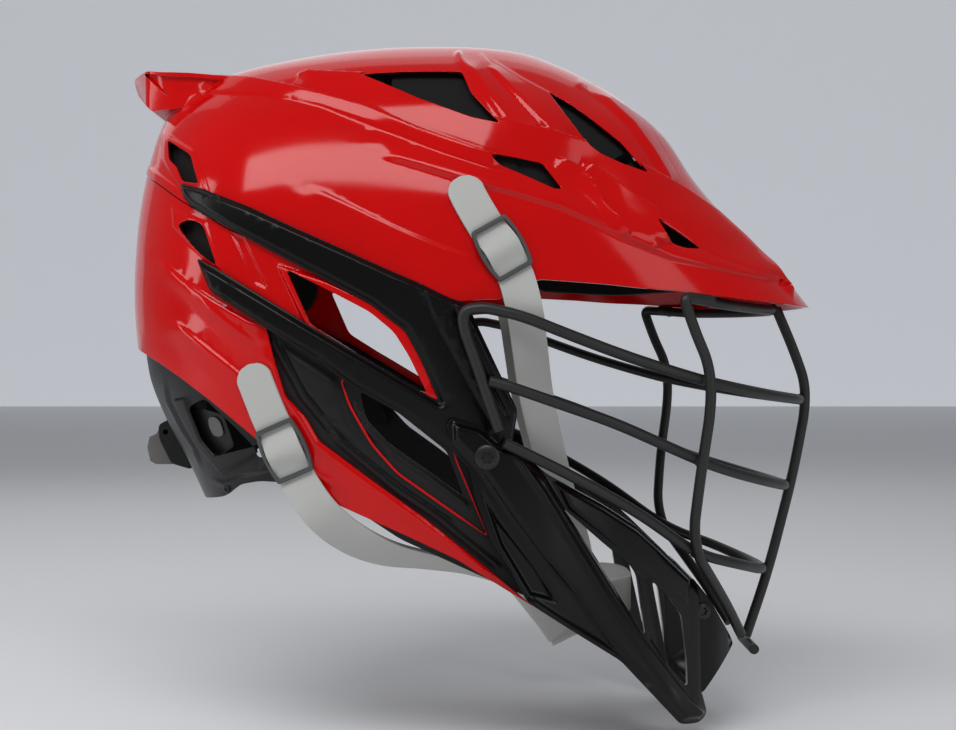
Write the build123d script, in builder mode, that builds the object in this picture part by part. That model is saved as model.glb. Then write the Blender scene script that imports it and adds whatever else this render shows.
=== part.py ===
"""Lacrosse helmet: vented shell with a visor, side frames, chin guard, wire cage, webbing and fit yoke.

+X points forward, +Y to the wearer's left and +Z up. The origin is midway between the wearer's ears.
Outlines are picture points of the right side, seen square on from view_distance away, so each point is
moved to the depth of the surface that it lies on.
"""

from build123d import *
import math
import os

os.makedirs("parts", exist_ok=True)

# Driving sizes, in millimetres
helmet_length = 337.0
shell_width = 213.0
view_distance = 797.0
shell_wall = 3.0
fit_gap = 0.2
overrun = 40.0
spine_half = 9.0

# Picture frame: the middle of the picture, the place of the ear, and the length of the helmet in it
centre_px, centre_py = 478, 365
ear_px, ear_py = 398, 350
length_px = 674
scale = helmet_length / length_px
half_shell = shell_width / 2
side_reach = half_shell + overrun

# Dome of the head: picture row, rear, widest and front columns, then share of the half width
DOME_LEVELS = (
    (182, 154, 345, 690, 0.925),
    (143, 164, 358, 664, 0.83),
    (113, 180, 372, 630, 0.715),
    (89, 216, 392, 594, 0.585),
    (72, 272, 412, 562, 0.44),
    (60, 332, 430, 532, 0.29),
    (53, 392, 440, 492, 0.14),
)
# Below the dome the crown runs out into the visor, and the head runs down to the jaw
CROWN_LEVELS = (
    (334, 144, 333, 826, 0.985),
    (306, 143, 333, 803, 1.0),
    (284, 143, 333, 785, 1.0),
    (262, 144, 334, 764, 0.998),
    (236, 146, 335, 739, 0.99),
    (210, 149, 338, 713, 0.968),
) + DOME_LEVELS
HEAD_LEVELS = (
    (660, 221, 400, 697, 0.85),
    (560, 186, 380, 713, 0.905),
    (470, 164, 355, 719, 0.955),
    (380, 150, 340, 721, 0.985),
    (306, 143, 333, 719, 1.0),
    (236, 146, 335, 709, 0.99),
) + DOME_LEVELS
APEX_PX, APEX_PY = 441, 50.5
FORM_FULLNESS = 2.3
DOME_FOOT_PY = 306
CORNER_SHARE = 0.45
LEAST_LEAN = 0.25
LEAST_TURN = 0.001


def place(px, py, depth=0.0):
    """Give x and z of a picture point that lies a depth to the right of the middle plane."""
    near = scale * (1 - depth / view_distance)
    x = (px - centre_px) * near + (centre_px - ear_px) * scale
    z = (centre_py - py) * near - (centre_py - ear_py) * scale
    return x, z


def form_rows(levels, grow):
    """Give z, rear, widest, front and half width of each level of a form that has grown all round."""
    middle_z = place(0, DOME_FOOT_PY)[1]
    top_z = place(0, APEX_PY)[1]
    rows = []
    for py, rear, wide, front, width_share in levels:
        z = place(0, py)[1]
        rise = min(max((z - middle_z) / (top_z - middle_z), 0), 1)
        out = grow * math.sqrt(1 - rise ** 2)
        x_rear = place(rear, py)[0] - out
        x_front = place(front, py)[0] + out
        rows.append((z + grow * rise, x_rear, place(wide, py)[0], x_front, half_shell * width_share + out))
    return rows


def form_width(x, z, levels, grow=0.0):
    """Give the half width of a form at x and z, or zero outside it."""
    rows = form_rows(levels, grow)
    lower, upper = rows[0], rows[-1]
    for below, above in zip(rows, rows[1:]):
        if below[0] <= z <= above[0]:
            lower, upper = below, above
    run = upper[0] - lower[0]
    t = min(max((z - lower[0]) / run, 0), 1)
    _, rear, wide, front, half = (a + (b - a) * t for a, b in zip(lower, upper))
    end = front if x > wide else rear
    reach = min(max((x - wide) / (end - wide), 0), 1)
    return half * (1 - reach ** FORM_FULLNESS) ** (1 / FORM_FULLNESS)


def head_width(x, z, grow=0.0):
    """Give the half width of the head form at x and z."""
    return form_width(x, z, HEAD_LEVELS, grow)


def crown_width(x, z, grow=0.0):
    """Give the half width of the crown form at x and z."""
    return form_width(x, z, CROWN_LEVELS, grow)


def sight(px, py, width, grow=0.0):
    """Follow the line of sight through a picture point to a surface: its x, z and half width."""
    depth = 0.0
    for _ in range(12):
        x, z = place(px, py, depth)
        depth = (depth + width(x, z, grow)) / 2
    return x, z, depth


def side_points(outline, width=head_width, grow=0.0):
    """Place the picture points of an outline on a surface. A third number is a depth given by hand."""
    points = []
    for px, py, *depth in outline:
        if depth:
            points.append(place(px, py, depth[0] * half_shell))
        else:
            points.append(sight(px, py, width, grow)[:2])
    return points


def sight_solid(px, py, solid):
    """Follow the line of sight through a picture point to a solid: the point there and the way it faces."""
    spot, facing = Vector(0, 0, 0), Vector(0, -1, 0)
    for _ in range(4):
        x, z = place(px, py, -spot.Y)
        ray = Axis((x, -side_reach, z), (0, 1, 0))
        hits = [hit for face in solid.faces() for hit in face.find_intersection_points(ray)]
        spot, facing = min(hits, key=lambda hit: hit[0].Y)
    return spot, facing if facing.Y < 0 else -facing


def corner_radii(points, largest, closed=True):
    """Give each corner of a run of points the largest radius that its two sides allow."""
    spots = [Vector(*p) for p in points]
    radii = []
    count = len(spots)
    corners = range(count) if closed else range(1, count - 1)
    for i in corners:
        back = spots[i] - spots[i - 1]
        ahead = spots[(i + 1) % count] - spots[i]
        half_turn = math.radians(back.get_angle(ahead)) / 2
        room = CORNER_SHARE * min(back.length, ahead.length) / math.tan(max(half_turn, LEAST_TURN))
        radii.append(min(largest, room))
    return radii


def inset(points, distance):
    """Move the sides of a closed outline inwards by a distance, keeping its corners sharp."""
    spots = [Vector(*p) for p in points]
    turn = sum(a.X * b.Y - a.Y * b.X for a, b in zip(spots, spots[1:] + spots[:1]))
    way = math.copysign(1, turn)
    moved = []
    for i, spot in enumerate(spots):
        back = (spot - spots[i - 1]).normalized()
        ahead = (spots[(i + 1) % len(spots)] - spot).normalized()
        square = Vector(-back.Y - ahead.Y, back.X + ahead.X).normalized() * way
        lean = abs(square.X * -back.Y + square.Y * back.X)
        moved.append(tuple(spot + square * (distance / max(lean, LEAST_LEAN)))[:2])
    return moved


def form(levels, grow, domed=True):
    """Loft the right-hand half of a closed egg form through its levels, up to its highest point if domed."""
    quarter_steps = (90, 60, 30, 0)
    with BuildPart(mode=Mode.PRIVATE) as egg:
        faces = []
        for z, rear, wide, front, half in form_rows(levels, grow):
            with BuildSketch(Plane.XY.offset(z), mode=Mode.PRIVATE) as section:
                with BuildLine():
                    for end, way in ((front, 1), (rear, -1)):
                        arc = []
                        for angle in quarter_steps:
                            c, s = math.cos(math.radians(angle)), math.sin(math.radians(angle))
                            x = wide + (end - wide) * abs(c) ** (2 / FORM_FULLNESS)
                            arc.append((x, -half * s ** (2 / FORM_FULLNESS)))
                        Spline(*arc, tangents=[(way, 0), (0, 1)])
                    Line((rear, 0), (front, 0))
                make_face()
            faces.append(section.sketch.face())
        if domed:
            x, z = place(APEX_PX, APEX_PY)
            faces.append(Vertex(x, 0, z + grow))
        loft(faces)
    return egg.part


def crown_form(grow):
    """Make the right-hand half of the crown form."""
    return form(CROWN_LEVELS, grow)


def head_form(grow):
    """Make the right-hand half of the head form."""
    return form(HEAD_LEVELS, grow)


def side_prism(points, corner=0.0, inner=0.0, outer=side_reach):
    """Extrude a side outline from one depth to another on the wearer's right."""
    with BuildPart(mode=Mode.PRIVATE) as prism:
        with BuildSketch(Plane.XZ.offset(inner)):
            with BuildLine():
                if corner:
                    FilletPolyline(*points, radius=corner_radii(points, corner), close=True)
                else:
                    Polyline(*points, close=True)
            make_face()
        extrude(amount=outer - inner)
    return prism.part


def plan_prism(points, smooth=False):
    """Extrude a plan outline of the right-hand half through the whole height."""
    with BuildPart(mode=Mode.PRIVATE) as prism:
        with BuildSketch(Plane.XY.offset(-helmet_length)):
            with BuildLine():
                if smooth:
                    Spline(*points)
                    Line(points[-1], points[0])
                else:
                    Polyline(*points, close=True)
            make_face()
        extrude(amount=2 * helmet_length)
    return prism.part


def both_halves(half):
    """Join a right-hand half to its mirror image at the middle plane."""
    with BuildPart(mode=Mode.PRIVATE) as whole:
        add(half)
        mirror(about=Plane.XZ)
    return whole.part


def finish(builder, name):
    """Label a finished piece and write its file."""
    builder.part.label = name
    export_step(builder.part, "parts/" + name + ".step")


def finish_pair(right, name):
    """Write a right-hand piece and its mirror image for the left."""
    finish(right, name + "_right")
    with BuildPart() as left:
        mirror(right.part, about=Plane.XZ)
    finish(left, name + "_left")


# Crown shell: outer skin, raised ridges and spoiler, hollowed, then cut along its lower edge and vents
ridge_height = 2.6

CROWN_EDGE = (
    (100, 140, 0.0), (143, 172), (181, 200), (210, 217), (227, 228), (284, 252), (352, 280), (400, 296),
    (440, 303), (487, 299), (500, 300), (537, 279), (604, 284), (640, 288), (680, 291), (740, 299),
    (803, 307), (840, 306, 0.0), (840, 20, 0.0), (100, 20, 0.0),
)
BROW_RIDGE = (
    (470, 117), (503, 130), (556, 138), (590, 149), (649, 173), (673, 187), (700, 208),
    (740, 246), (784, 281), (699, 247), (649, 210), (578, 162), (543, 159), (489, 149), (462, 140),
)
WING_RIDGE = (
    (275, 78), (324, 75), (374, 99), (447, 137), (500, 151), (520, 168), (471, 164), (442, 149),
    (391, 127), (338, 100), (275, 91),
)
SPOILER_SIDE = (
    (135, 82, 0.0), (168, 70, 0.43), (227, 75, 0.5), (300, 92, 0.4), (300, 125, 0.4),
    (240, 108, 0.5), (193, 88, 0.45), (178, 95, 0.4), (162, 121, 0.1),
)
SPOILER_PLAN = ((135, 0.02), (141, 0.16), (166, 0.42), (230, 0.52), (310, 0.35))
TOP_VENT = ((359, 75), (406, 72), (462, 72), (471, 93), (500, 124), (471, 118), (420, 100))
FRONT_VENT = ((548, 92), (588, 117), (621, 143), (648, 174), (601, 155), (589, 146), (567, 117))
SIDE_VENT = ((489, 152), (503, 153), (542, 162), (561, 188), (555, 188), (524, 174), (493, 158))
BROW_VENT = ((656, 218), (701, 249), (671, 243))
REAR_VENT = ((166, 136), (190, 154), (202, 189), (182, 183), (176, 170), (170, 161))

crown_edge = side_prism(side_points(CROWN_EDGE, crown_width), inner=-spine_half)

with BuildPart(mode=Mode.PRIVATE) as ridges:
    for ridge in (BROW_RIDGE, WING_RIDGE):
        add(side_prism(side_points(ridge, crown_width), inner=spine_half / 2))
    add(crown_form(ridge_height), mode=Mode.INTERSECT)
    add(crown_form(-shell_wall / 2), mode=Mode.SUBTRACT)

spoiler_plan = [(place(px, 0)[0], share * half_shell) for px, share in SPOILER_PLAN]
spoiler_plan += [(x, -y) for x, y in reversed(spoiler_plan)]
with BuildPart(mode=Mode.PRIVATE) as spoiler:
    add(side_prism(side_points(SPOILER_SIDE), inner=-half_shell, outer=half_shell))
    add(plan_prism(spoiler_plan), mode=Mode.INTERSECT)
    add(both_halves(crown_form(-shell_wall / 2)), mode=Mode.SUBTRACT)

with BuildPart(mode=Mode.PRIVATE) as crown_half:
    add(crown_form(0))
    add(crown_form(-shell_wall), mode=Mode.SUBTRACT)
    add(crown_edge, mode=Mode.INTERSECT)
    for vent in (TOP_VENT, FRONT_VENT, SIDE_VENT, BROW_VENT, REAR_VENT):
        add(side_prism(side_points(vent, crown_width), inner=spine_half), mode=Mode.SUBTRACT)
    add(ridges.part)

with BuildPart() as crown_shell:
    add(both_halves(crown_half.part))
    add(spoiler.part)
finish(crown_shell, "crown_shell")

# Rear shell: lower half of the back, strip between the rails with the upper window, and the jaw tail
seam_gap = 0.5

REAR_EDGE = (
    (100, 140, 0.0), (143, 150), (227, 200), (284, 240), (352, 268), (400, 290), (423, 300), (436, 340),
    (452, 412), (420, 402), (361, 367), (307, 335), (265, 322), (285, 396), (306, 418), (319, 441),
    (371, 480), (424, 518), (532, 604), (458, 556), (409, 535), (380, 523), (336, 504), (285, 470),
    (256, 439), (242, 427), (211, 401), (181, 378), (160, 363), (148, 355), (142, 345), (100, 335, 0.0),
)
UPPER_WINDOW = (
    (284, 268), (330, 291), (370, 312), (394, 332), (409, 356), (427, 393), (420, 391), (361, 356),
    (306, 322),
)
REAR_LOWER_VENT = ((178, 212), (204, 225), (217, 269), (204, 258), (195, 243), (178, 224))

with BuildPart(mode=Mode.PRIVATE) as rear_half:
    add(head_form(0))
    add(head_form(-shell_wall), mode=Mode.SUBTRACT)
    add(side_prism(side_points(REAR_EDGE), inner=-spine_half), mode=Mode.INTERSECT)
    seam = [(x, z - seam_gap) for x, z in side_points(CROWN_EDGE, crown_width)]
    add(side_prism(seam, inner=-spine_half), mode=Mode.SUBTRACT)
    openings = [
        side_prism(side_points(UPPER_WINDOW), inner=spine_half),
        side_prism(side_points(REAR_LOWER_VENT), inner=spine_half),
    ]
    add(openings, mode=Mode.SUBTRACT)

with BuildPart() as rear_shell:
    add(both_halves(rear_half.part))
finish(rear_shell, "rear_shell")

# Side frame: forked rails and front post that lie on the shells
rail_height = 4.5
bolt_radius = 2.5
bolt_gap = 0.2

stud_radius = 4.0
stud_height = 1.6
screw_seat_depth = 1.2
FRAME_SCREW_SPOTS = ((212, 202), (228, 292), (445, 320))

BOLT_PX, BOLT_PY = 487, 457
FRAME_EDGE = (
    (178, 182), (201, 188), (248, 206), (296, 228), (352, 253), (387, 269), (420, 283), (448, 297),
    (468, 304), (475, 320), (497, 367), (518, 411), (511, 452), (494, 478), (470, 470), (450, 450),
    (398, 413), (352, 387), (315, 359), (263, 327), (209, 291), (195, 257), (217, 269), (263, 297),
    (307, 324), (361, 356),
    (420, 391), (439, 402), (420, 359), (404, 330), (394, 323), (370, 304), (333, 284), (284, 258),
    (234, 231), (190, 206), (182, 196),
)

bolt_x, bolt_z, bolt_depth = sight(BOLT_PX, BOLT_PY, head_width, rail_height)
with BuildPart(mode=Mode.PRIVATE) as bolt_hole:
    with BuildSketch(Plane.XZ):
        with Locations((bolt_x, bolt_z)):
            Circle(bolt_radius + bolt_gap)
    extrude(amount=side_reach)

frame_outer = head_form(rail_height)
seat_planes = []
for px, py in FRAME_SCREW_SPOTS:
    spot, facing = sight_solid(px, py, frame_outer)
    seat_planes.append(Plane(origin=spot, z_dir=facing).offset(-screw_seat_depth))
with BuildPart(mode=Mode.PRIVATE) as screw_seats:
    with BuildSketch(*seat_planes):
        Circle(stud_radius + fit_gap)
    extrude(amount=overrun)

with BuildPart(mode=Mode.PRIVATE) as frame_blank:
    add(side_prism(side_points(FRAME_EDGE, head_width, rail_height)))
    add(frame_outer, mode=Mode.INTERSECT)
    add(head_form(fit_gap), mode=Mode.SUBTRACT)
    add(crown_form(fit_gap), mode=Mode.SUBTRACT)
    add(screw_seats.part, mode=Mode.SUBTRACT)
    add(bolt_hole.part, mode=Mode.SUBTRACT)

# Ear guard: inner panel behind the rear shell and the frame, with the lower window
guard_wall = 3.0
guard_top = -shell_wall - fit_gap

GUARD_EDGE = (
    (250, 306), (300, 332), (352, 364), (400, 392), (446, 414), (463, 450), (486, 500), (512, 540),
    (546, 606), (470, 572), (400, 540), (336, 498), (296, 462), (272, 424), (254, 372),
)
LOWER_WINDOW = ((358, 391), (398, 413), (447, 452), (464, 498), (424, 469), (387, 443), (365, 419))
TRIM_LINE = (
    (339, 378), (348, 406), (371, 446), (396, 474), (457, 517), (489, 538), (458, 462), (450, 436),
    (400, 402), (356, 376),
)
trim_width = 1.2
trim_height = 0.8

guard_outer = head_form(guard_top)
with BuildPart() as ear_guard:
    add(guard_outer)
    add(head_form(guard_top - guard_wall), mode=Mode.SUBTRACT)
    add(side_prism(side_points(GUARD_EDGE)), mode=Mode.INTERSECT)
    add(side_prism(side_points(LOWER_WINDOW)), mode=Mode.SUBTRACT)
finish_pair(ear_guard, "ear_guard")

with BuildPart() as ear_trim:
    trim_line = side_points(TRIM_LINE)
    add(side_prism(trim_line))
    add(side_prism(inset(trim_line, trim_width)), mode=Mode.SUBTRACT)
    add(head_form(guard_top + trim_height), mode=Mode.INTERSECT)
    add(head_form(guard_top), mode=Mode.SUBTRACT)
finish_pair(ear_trim, "ear_trim")

# Liners: soft pads inside the shells
liner_gap = 0.8
liner_thick = 11.0
liner_slot = 4.0
pad_thick = 9.0

CROWN_LINER_EDGE = (
    (100, 186, 0.0), (255, 222), (420, 262), (520, 262), (556, 196), (628, 150), (730, 130, 0.0),
    (730, 20, 0.0), (100, 20, 0.0),
)
BROW_PAD_EDGE = ((566, 204), (636, 158), (760, 140, 0.0), (760, 286, 0.0), (640, 282), (548, 272))
REAR_LINER_EDGE = ((100, 192, 0.0), (244, 228), (274, 262), (262, 296), (200, 318), (100, 318, 0.0))
CROSS_SLOT = ((391, 20, 0.0), (399, 20, 0.0), (399, 290), (391, 290))
EAR_PAD_EDGE = ((272, 338), (338, 380), (350, 410), (368, 446), (334, 434), (300, 398))

liner_outer = head_form(-shell_wall - liner_gap)
liner_inner = head_form(-shell_wall - liner_gap - liner_thick)
for liner_name, liner_edge, middle in (
    ("crown_liner", CROWN_LINER_EDGE, liner_slot / 2),
    ("brow_pad", BROW_PAD_EDGE, -spine_half),
    ("rear_liner", REAR_LINER_EDGE, -spine_half),
):
    with BuildPart(mode=Mode.PRIVATE) as liner_half:
        add(liner_outer)
        add(liner_inner, mode=Mode.SUBTRACT)
        add(side_prism(side_points(liner_edge), inner=middle), mode=Mode.INTERSECT)
        add(side_prism(side_points(CROSS_SLOT), inner=-spine_half), mode=Mode.SUBTRACT)
    with BuildPart() as liner:
        add(both_halves(liner_half.part))
    finish(liner, liner_name)

with BuildPart() as ear_pad:
    add(head_form(guard_top - guard_wall - fit_gap))
    add(head_form(guard_top - guard_wall - fit_gap - pad_thick), mode=Mode.SUBTRACT)
    add(side_prism(side_points(EAR_PAD_EDGE)), mode=Mode.INTERSECT)
finish_pair(ear_pad, "ear_pad")

# Chin guard: truss arms that close towards the chin, front block and lower beak
chin_wall = 6.0
chin_setback = 0.8 * chin_wall
block_wall = 5.0

CHIN_PLAN = (
    (430, 1.035), (497, 0.99), (550, 0.905), (610, 0.75), (655, 0.57), (684, 0.43), (704, 0.37),
    (716, 0.20),
    (720, 0.0),
)
CHIN_EDGE = (
    (447, 424), (451, 418), (480, 426), (502, 445), (514, 447), (545, 473), (603, 505), (637, 527),
    (657, 545),
    (690, 577), (699, 590), (701, 690), (704, 699), (708, 714), (700, 722), (688, 724), (680, 724),
    (621, 661),
    (527, 602), (491, 541), (476, 500), (470, 470), (450, 444),
)
CHIN_SEAT_EDGE = ((400, 400), (562, 400), (562, 700), (400, 700))
ARM_WINDOW = ((572, 522), (603, 543), (630, 565), (637, 576), (646, 638), (603, 570))
FRONT_WINDOW = ((652, 581), (668, 596), (682, 616), (688, 690), (668, 664))
BLOCK_EDGE = ((684, 580), (692, 577), (710, 599), (725, 624), (740, 649), (703, 693), (689, 688), (686, 613))
BLOCK_PLAN = ((640, 0.52), (684, 0.445), (716, 0.37), (730, 0.28), (744, 0.06))
block_half = 0.42 * half_shell


def chin_width(x, z, grow=0.0):
    """Give the half width of the chin guard in plan, which is the same at every height."""
    column = centre_px + (x - (centre_px - ear_px) * scale) / scale
    spots = CHIN_PLAN
    for (px_a, share_a), (px_b, share_b) in zip(spots, spots[1:]):
        if px_a <= column <= px_b:
            t = (column - px_a) / (px_b - px_a)
            return half_shell * (share_a + (share_b - share_a) * t) + grow
    return half_shell * spots[0][1] + grow if column < spots[0][0] else 0.0


def chin_plan_points(setback, wall):
    """Give the plan outline of the chin guard's right-hand half, moved back and inwards."""
    points = [(place(px, 0)[0], -share * half_shell) for px, share in CHIN_PLAN]
    moved = [(x - setback, min(y + wall, 0.0)) for x, y in points]
    return [(moved[0][0], 0.0)] + moved


with BuildPart(mode=Mode.PRIVATE) as chin_seat:
    add(head_form(rail_height + fit_gap))
    add(side_prism(side_points(CHIN_SEAT_EDGE)), mode=Mode.INTERSECT)

with BuildPart(mode=Mode.PRIVATE) as chin_half:
    with BuildSketch(Plane.XY.offset(-helmet_length)):
        with BuildLine():
            Polyline(*chin_plan_points(0, 0), close=True)
        make_face()
        with BuildLine():
            Polyline(*chin_plan_points(chin_setback, chin_wall), close=True)
        make_face(mode=Mode.SUBTRACT)
    extrude(amount=2 * helmet_length)
    add(side_prism(side_points(CHIN_EDGE, chin_width)), mode=Mode.INTERSECT)
    for window in (ARM_WINDOW, FRONT_WINDOW):
        add(side_prism(side_points(window, chin_width)), mode=Mode.SUBTRACT)
    add(chin_seat.part, mode=Mode.SUBTRACT)

block_points = [place(px, py, block_half) for px, py in BLOCK_EDGE]
block_plan = [(place(px, 0, share * half_shell)[0], share * half_shell) for px, share in BLOCK_PLAN]
block_plan += [(x, -y) for x, y in reversed(block_plan)]
with BuildPart(mode=Mode.PRIVATE) as block_hollow:
    add(side_prism([(x - block_wall, z) for x, z in block_points], inner=-half_shell, outer=half_shell))
    add(plan_prism(inset(block_plan, block_wall)), mode=Mode.INTERSECT)
with BuildPart(mode=Mode.PRIVATE) as block:
    add(side_prism(block_points, inner=-half_shell, outer=half_shell))
    add(plan_prism(block_plan), mode=Mode.INTERSECT)
    add(block_hollow.part, mode=Mode.SUBTRACT)

# Bolts that hold the chin guard and the side frame, with the flat seats under their heads
bolt_head_radius = 5.7
bolt_head_height = 2.5
bolt_length = 13.0
bolt_seat_depth = 1.0
cap_depth = chin_width(bolt_x, 0) - bolt_seat_depth

with BuildPart(mode=Mode.PRIVATE) as bolt_seat:
    with BuildSketch(Plane.XZ.offset(cap_depth - fit_gap)):
        with Locations((bolt_x, bolt_z)):
            Circle(bolt_head_radius + fit_gap)
    extrude(amount=overrun)
    add(bolt_hole.part)

# Screws through the front block, with the room that their heads need in the truss
screw_px, screw_py = 702, 611
screw_head_radius = 4.2
screw_head_height = 2.2
screw_spot, screw_way = sight_solid(screw_px, screw_py, block.part)

with BuildPart(mode=Mode.PRIVATE) as truss:
    add(chin_half.part)
    with BuildSketch(Plane(origin=screw_spot, z_dir=screw_way).offset(-fit_gap)):
        Circle(screw_head_radius + fit_gap)
    extrude(amount=overrun, mode=Mode.SUBTRACT)

with BuildPart() as chin_guard:
    add(both_halves(truss.part))
    add(block.part)
    for seat in (bolt_seat.part, bolt_seat.part.mirror(Plane.XZ)):
        add(seat, mode=Mode.SUBTRACT)
finish(chin_guard, "chin_guard")

with BuildPart() as chin_guard_bolts:
    with BuildSketch(Plane.XZ.offset(cap_depth)):
        with Locations((bolt_x, bolt_z)):
            Circle(bolt_head_radius)
    extrude(amount=bolt_head_height)
    fillet(chin_guard_bolts.faces().sort_by(Axis.Y)[0].edges(), bolt_head_height / 2)
    with BuildSketch(Plane.XZ.offset(cap_depth - bolt_length)):
        with Locations((bolt_x, bolt_z)):
            Circle(bolt_radius)
    extrude(amount=bolt_length)
    mirror(about=Plane.XZ)
finish(chin_guard_bolts, "chin_guard_bolts")

# Cage: level wires inside, upright wires outside, lapped and welded where they cross
wire = 5.0
weld_sink = 0.6
largest_bend = helmet_length
CAGE_FRONT = ((300, 776), (314, 779), (348, 793), (384, 806), (406, 806), (474, 793), (571, 768), (645, 745))
CAGE_SIDE = ((300, 1.08), (340, 1.08), (450, 1.05), (540, 0.93), (645, 0.62))
CAGE_BACK_PX = 478
CAGE_FULLNESS = 1.8
TOP_BAR = ((680, 299), (705, 302), (728, 305), (750, 308, 0.36), (774, 310, 0.13))
BAR_1 = (
    (499, 431), (491, 408), (477, 366), (464, 330), (462, 311), (482, 307), (520, 315), (570, 335),
    (620, 354),
    (665, 369), (705, 381), (740, 389), (776, 396, 0.42), (803, 400, 0.16),
)
BAR_2 = (
    (489, 381), (511, 387), (560, 404), (615, 423), (662, 444), (705, 463), (735, 473), (765, 481, 0.4),
    (788, 486, 0.15),
)
BAR_3 = (
    (504, 443), (560, 470), (600, 491), (640, 514), (685, 546), (708, 557), (738, 564, 0.42),
    (765, 570, 0.15),
)
UPRIGHT = ((687, 300), (696, 333), (708, 362), (711.5, 388), (710, 416), (701, 474), (694, 529), (698, 556))
UPRIGHT_FOOT = ((710, 576, 0.52), (727, 605, 0.33), (741, 634, 0.17))
CENTRE_BAR = ((776, 308), (793, 348), (805, 382), (805, 410), (793, 474), (768, 571), (746, 636))


def between(table, row):
    """Read a table of picture rows and values at one row."""
    rows = [entry[0] for entry in table]
    row = min(max(row, rows[0]), rows[-1])
    for (row_a, value_a), (row_b, value_b) in zip(table, table[1:]):
        if row_a <= row <= row_b:
            return value_a + (value_b - value_a) * (row - row_a) / (row_b - row_a)
    return table[-1][1]


def cage_width(x, z, grow=0.0):
    """Give the half width of the cage at x and z."""
    row = centre_py - (z + (centre_py - ear_py) * scale) / scale
    back = place(CAGE_BACK_PX, 0)[0]
    front = place(between(CAGE_FRONT, row), 0)[0] + grow
    half = between(CAGE_SIDE, row) * half_shell + grow
    reach = min(max((x - back) / (front - back), 0), 1)
    return half * (1 - reach ** CAGE_FULLNESS) ** (1 / CAGE_FULLNESS)


def wire_points(outline, grow):
    """Place the picture points of a wire's centre line on the cage, on the wearer's right."""
    points = []
    for px, py, *share in outline:
        if share:
            depth = share[0] * half_shell
            x, z = place(px, py, depth)
        else:
            x, z, depth = sight(px, py, cage_width, grow)
        points.append((x, -depth, z))
    return points


def swept(points, radius):
    """Sweep a round section along straight runs joined by arcs as large as the runs allow."""
    with BuildPart(mode=Mode.PRIVATE) as bar:
        with BuildLine() as path:
            FilletPolyline(*points, radius=corner_radii(points, largest_bend, closed=False))
        with BuildSketch(Plane(path.line @ 0, z_dir=path.line % 0)):
            Circle(radius)
        sweep()
    return bar.part


def bent_wire(points, name):
    """Write a wire that follows the points."""
    with BuildPart() as bar:
        add(swept(points, wire / 2))
    finish(bar, name)


def mirrored_path(points):
    """Run a path from the right on to its mirror image on the left."""
    return points + [(x, -y, z) for x, y, z in reversed(points)]


lap = -wire + weld_sink
for bar_name, bar_line in (
    ("cage_top_bar", TOP_BAR), ("cage_bar_1", BAR_1), ("cage_bar_2", BAR_2), ("cage_bar_3", BAR_3)
):
    bent_wire(mirrored_path(wire_points(bar_line, lap)), bar_name)
upright = wire_points(UPRIGHT, 0.0) + wire_points(UPRIGHT_FOOT, 0.0)
bent_wire(upright, "cage_upright_right")
bent_wire([(x, -y, z) for x, y, z in upright], "cage_upright_left")
centre_bar = [(x, 0.0, z) for x, z in (place(px, py) for px, py in CENTRE_BAR)]
bent_wire(centre_bar, "cage_centre_bar")

# Side frame again: grooves that hold the first points of the cage's level wires
GROOVED_BARS = ((BAR_1, 8), (BAR_2, 3), (BAR_3, 3))
with BuildPart() as side_frame:
    add(frame_blank.part)
    for bar_line, grooved in GROOVED_BARS:
        add(swept(wire_points(bar_line, lap)[:grooved], wire / 2 + fit_gap), mode=Mode.SUBTRACT)
finish_pair(side_frame, "side_frame")

# Cage fixings: clamp under the front block's edge and the heads of the screws through the block
clamp_length, clamp_width, clamp_height = 6.4, 36.0, 6.4
clamp_px, clamp_py = 748, 643

with BuildPart() as cage_clamp:
    clamp_x, clamp_z = place(clamp_px, clamp_py)
    with BuildSketch(Plane.XZ.offset(-clamp_width / 2)):
        with Locations((clamp_x, clamp_z)):
            Rectangle(clamp_length, clamp_height)
    extrude(amount=clamp_width)
    fillet(cage_clamp.edges().filter_by(Axis.Y), clamp_height / 4)
    add(block.part, mode=Mode.SUBTRACT)
finish(cage_clamp, "cage_clamp")

with BuildPart() as cage_screws:
    with BuildSketch(Plane(origin=screw_spot, z_dir=screw_way).offset(fit_gap)):
        Circle(screw_head_radius)
    extrude(amount=screw_head_height)
    fillet(cage_screws.faces().sort_by(Axis.Y)[0].edges(), screw_head_height / 2)
    mirror(about=Plane.XZ)
finish(cage_screws, "cage_screws")

# Webbing: flat straps lofted through stations, each with its middle line and the way that it faces
web_width = 16.0
web_thick = 1.8
web_gap = 0.6

# Picture column and row on the shell, or with the half width as a share and the outward direction
FRONT_STRAP = (
    (464, 182), (473, 200), (484, 220), (504, 250), (516, 276), (525, 312, 0.965, (0.1, -1, 0)),
    (530, 350, 0.90, (0.2, -1, 0)), (536, 395, 0.82, (0.3, -1, 0)), (548, 450, 0.72, (0.4, -1, 0)),
    (564, 510, 0.58, (0.5, -1, 0)), (574, 548, 0.4365, (0.05, -1, 0)), (580, 582, 0.4335, (0.05, -1, 0)),
)
REAR_STRAP = (
    (252, 372), (262, 396), (272, 420), (286, 450), (296, 474), (320, 512, 0.968, (0, -1, -0.1)),
    (350, 537, 0.905, (0, -1, -0.3)), (386, 554, 0.83, (0, -1, -0.6)), (430, 565, 0.75, (0, -0.8, -1)),
    (480, 577, 0.66, (0, -0.6, -1)), (520, 594, 0.55, (0, -0.7, -0.8)), (548, 616, 0.4485, (0, -1, -0.2)),
    (563, 632, 0.442, (0.05, -1, 0)),
)


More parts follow.
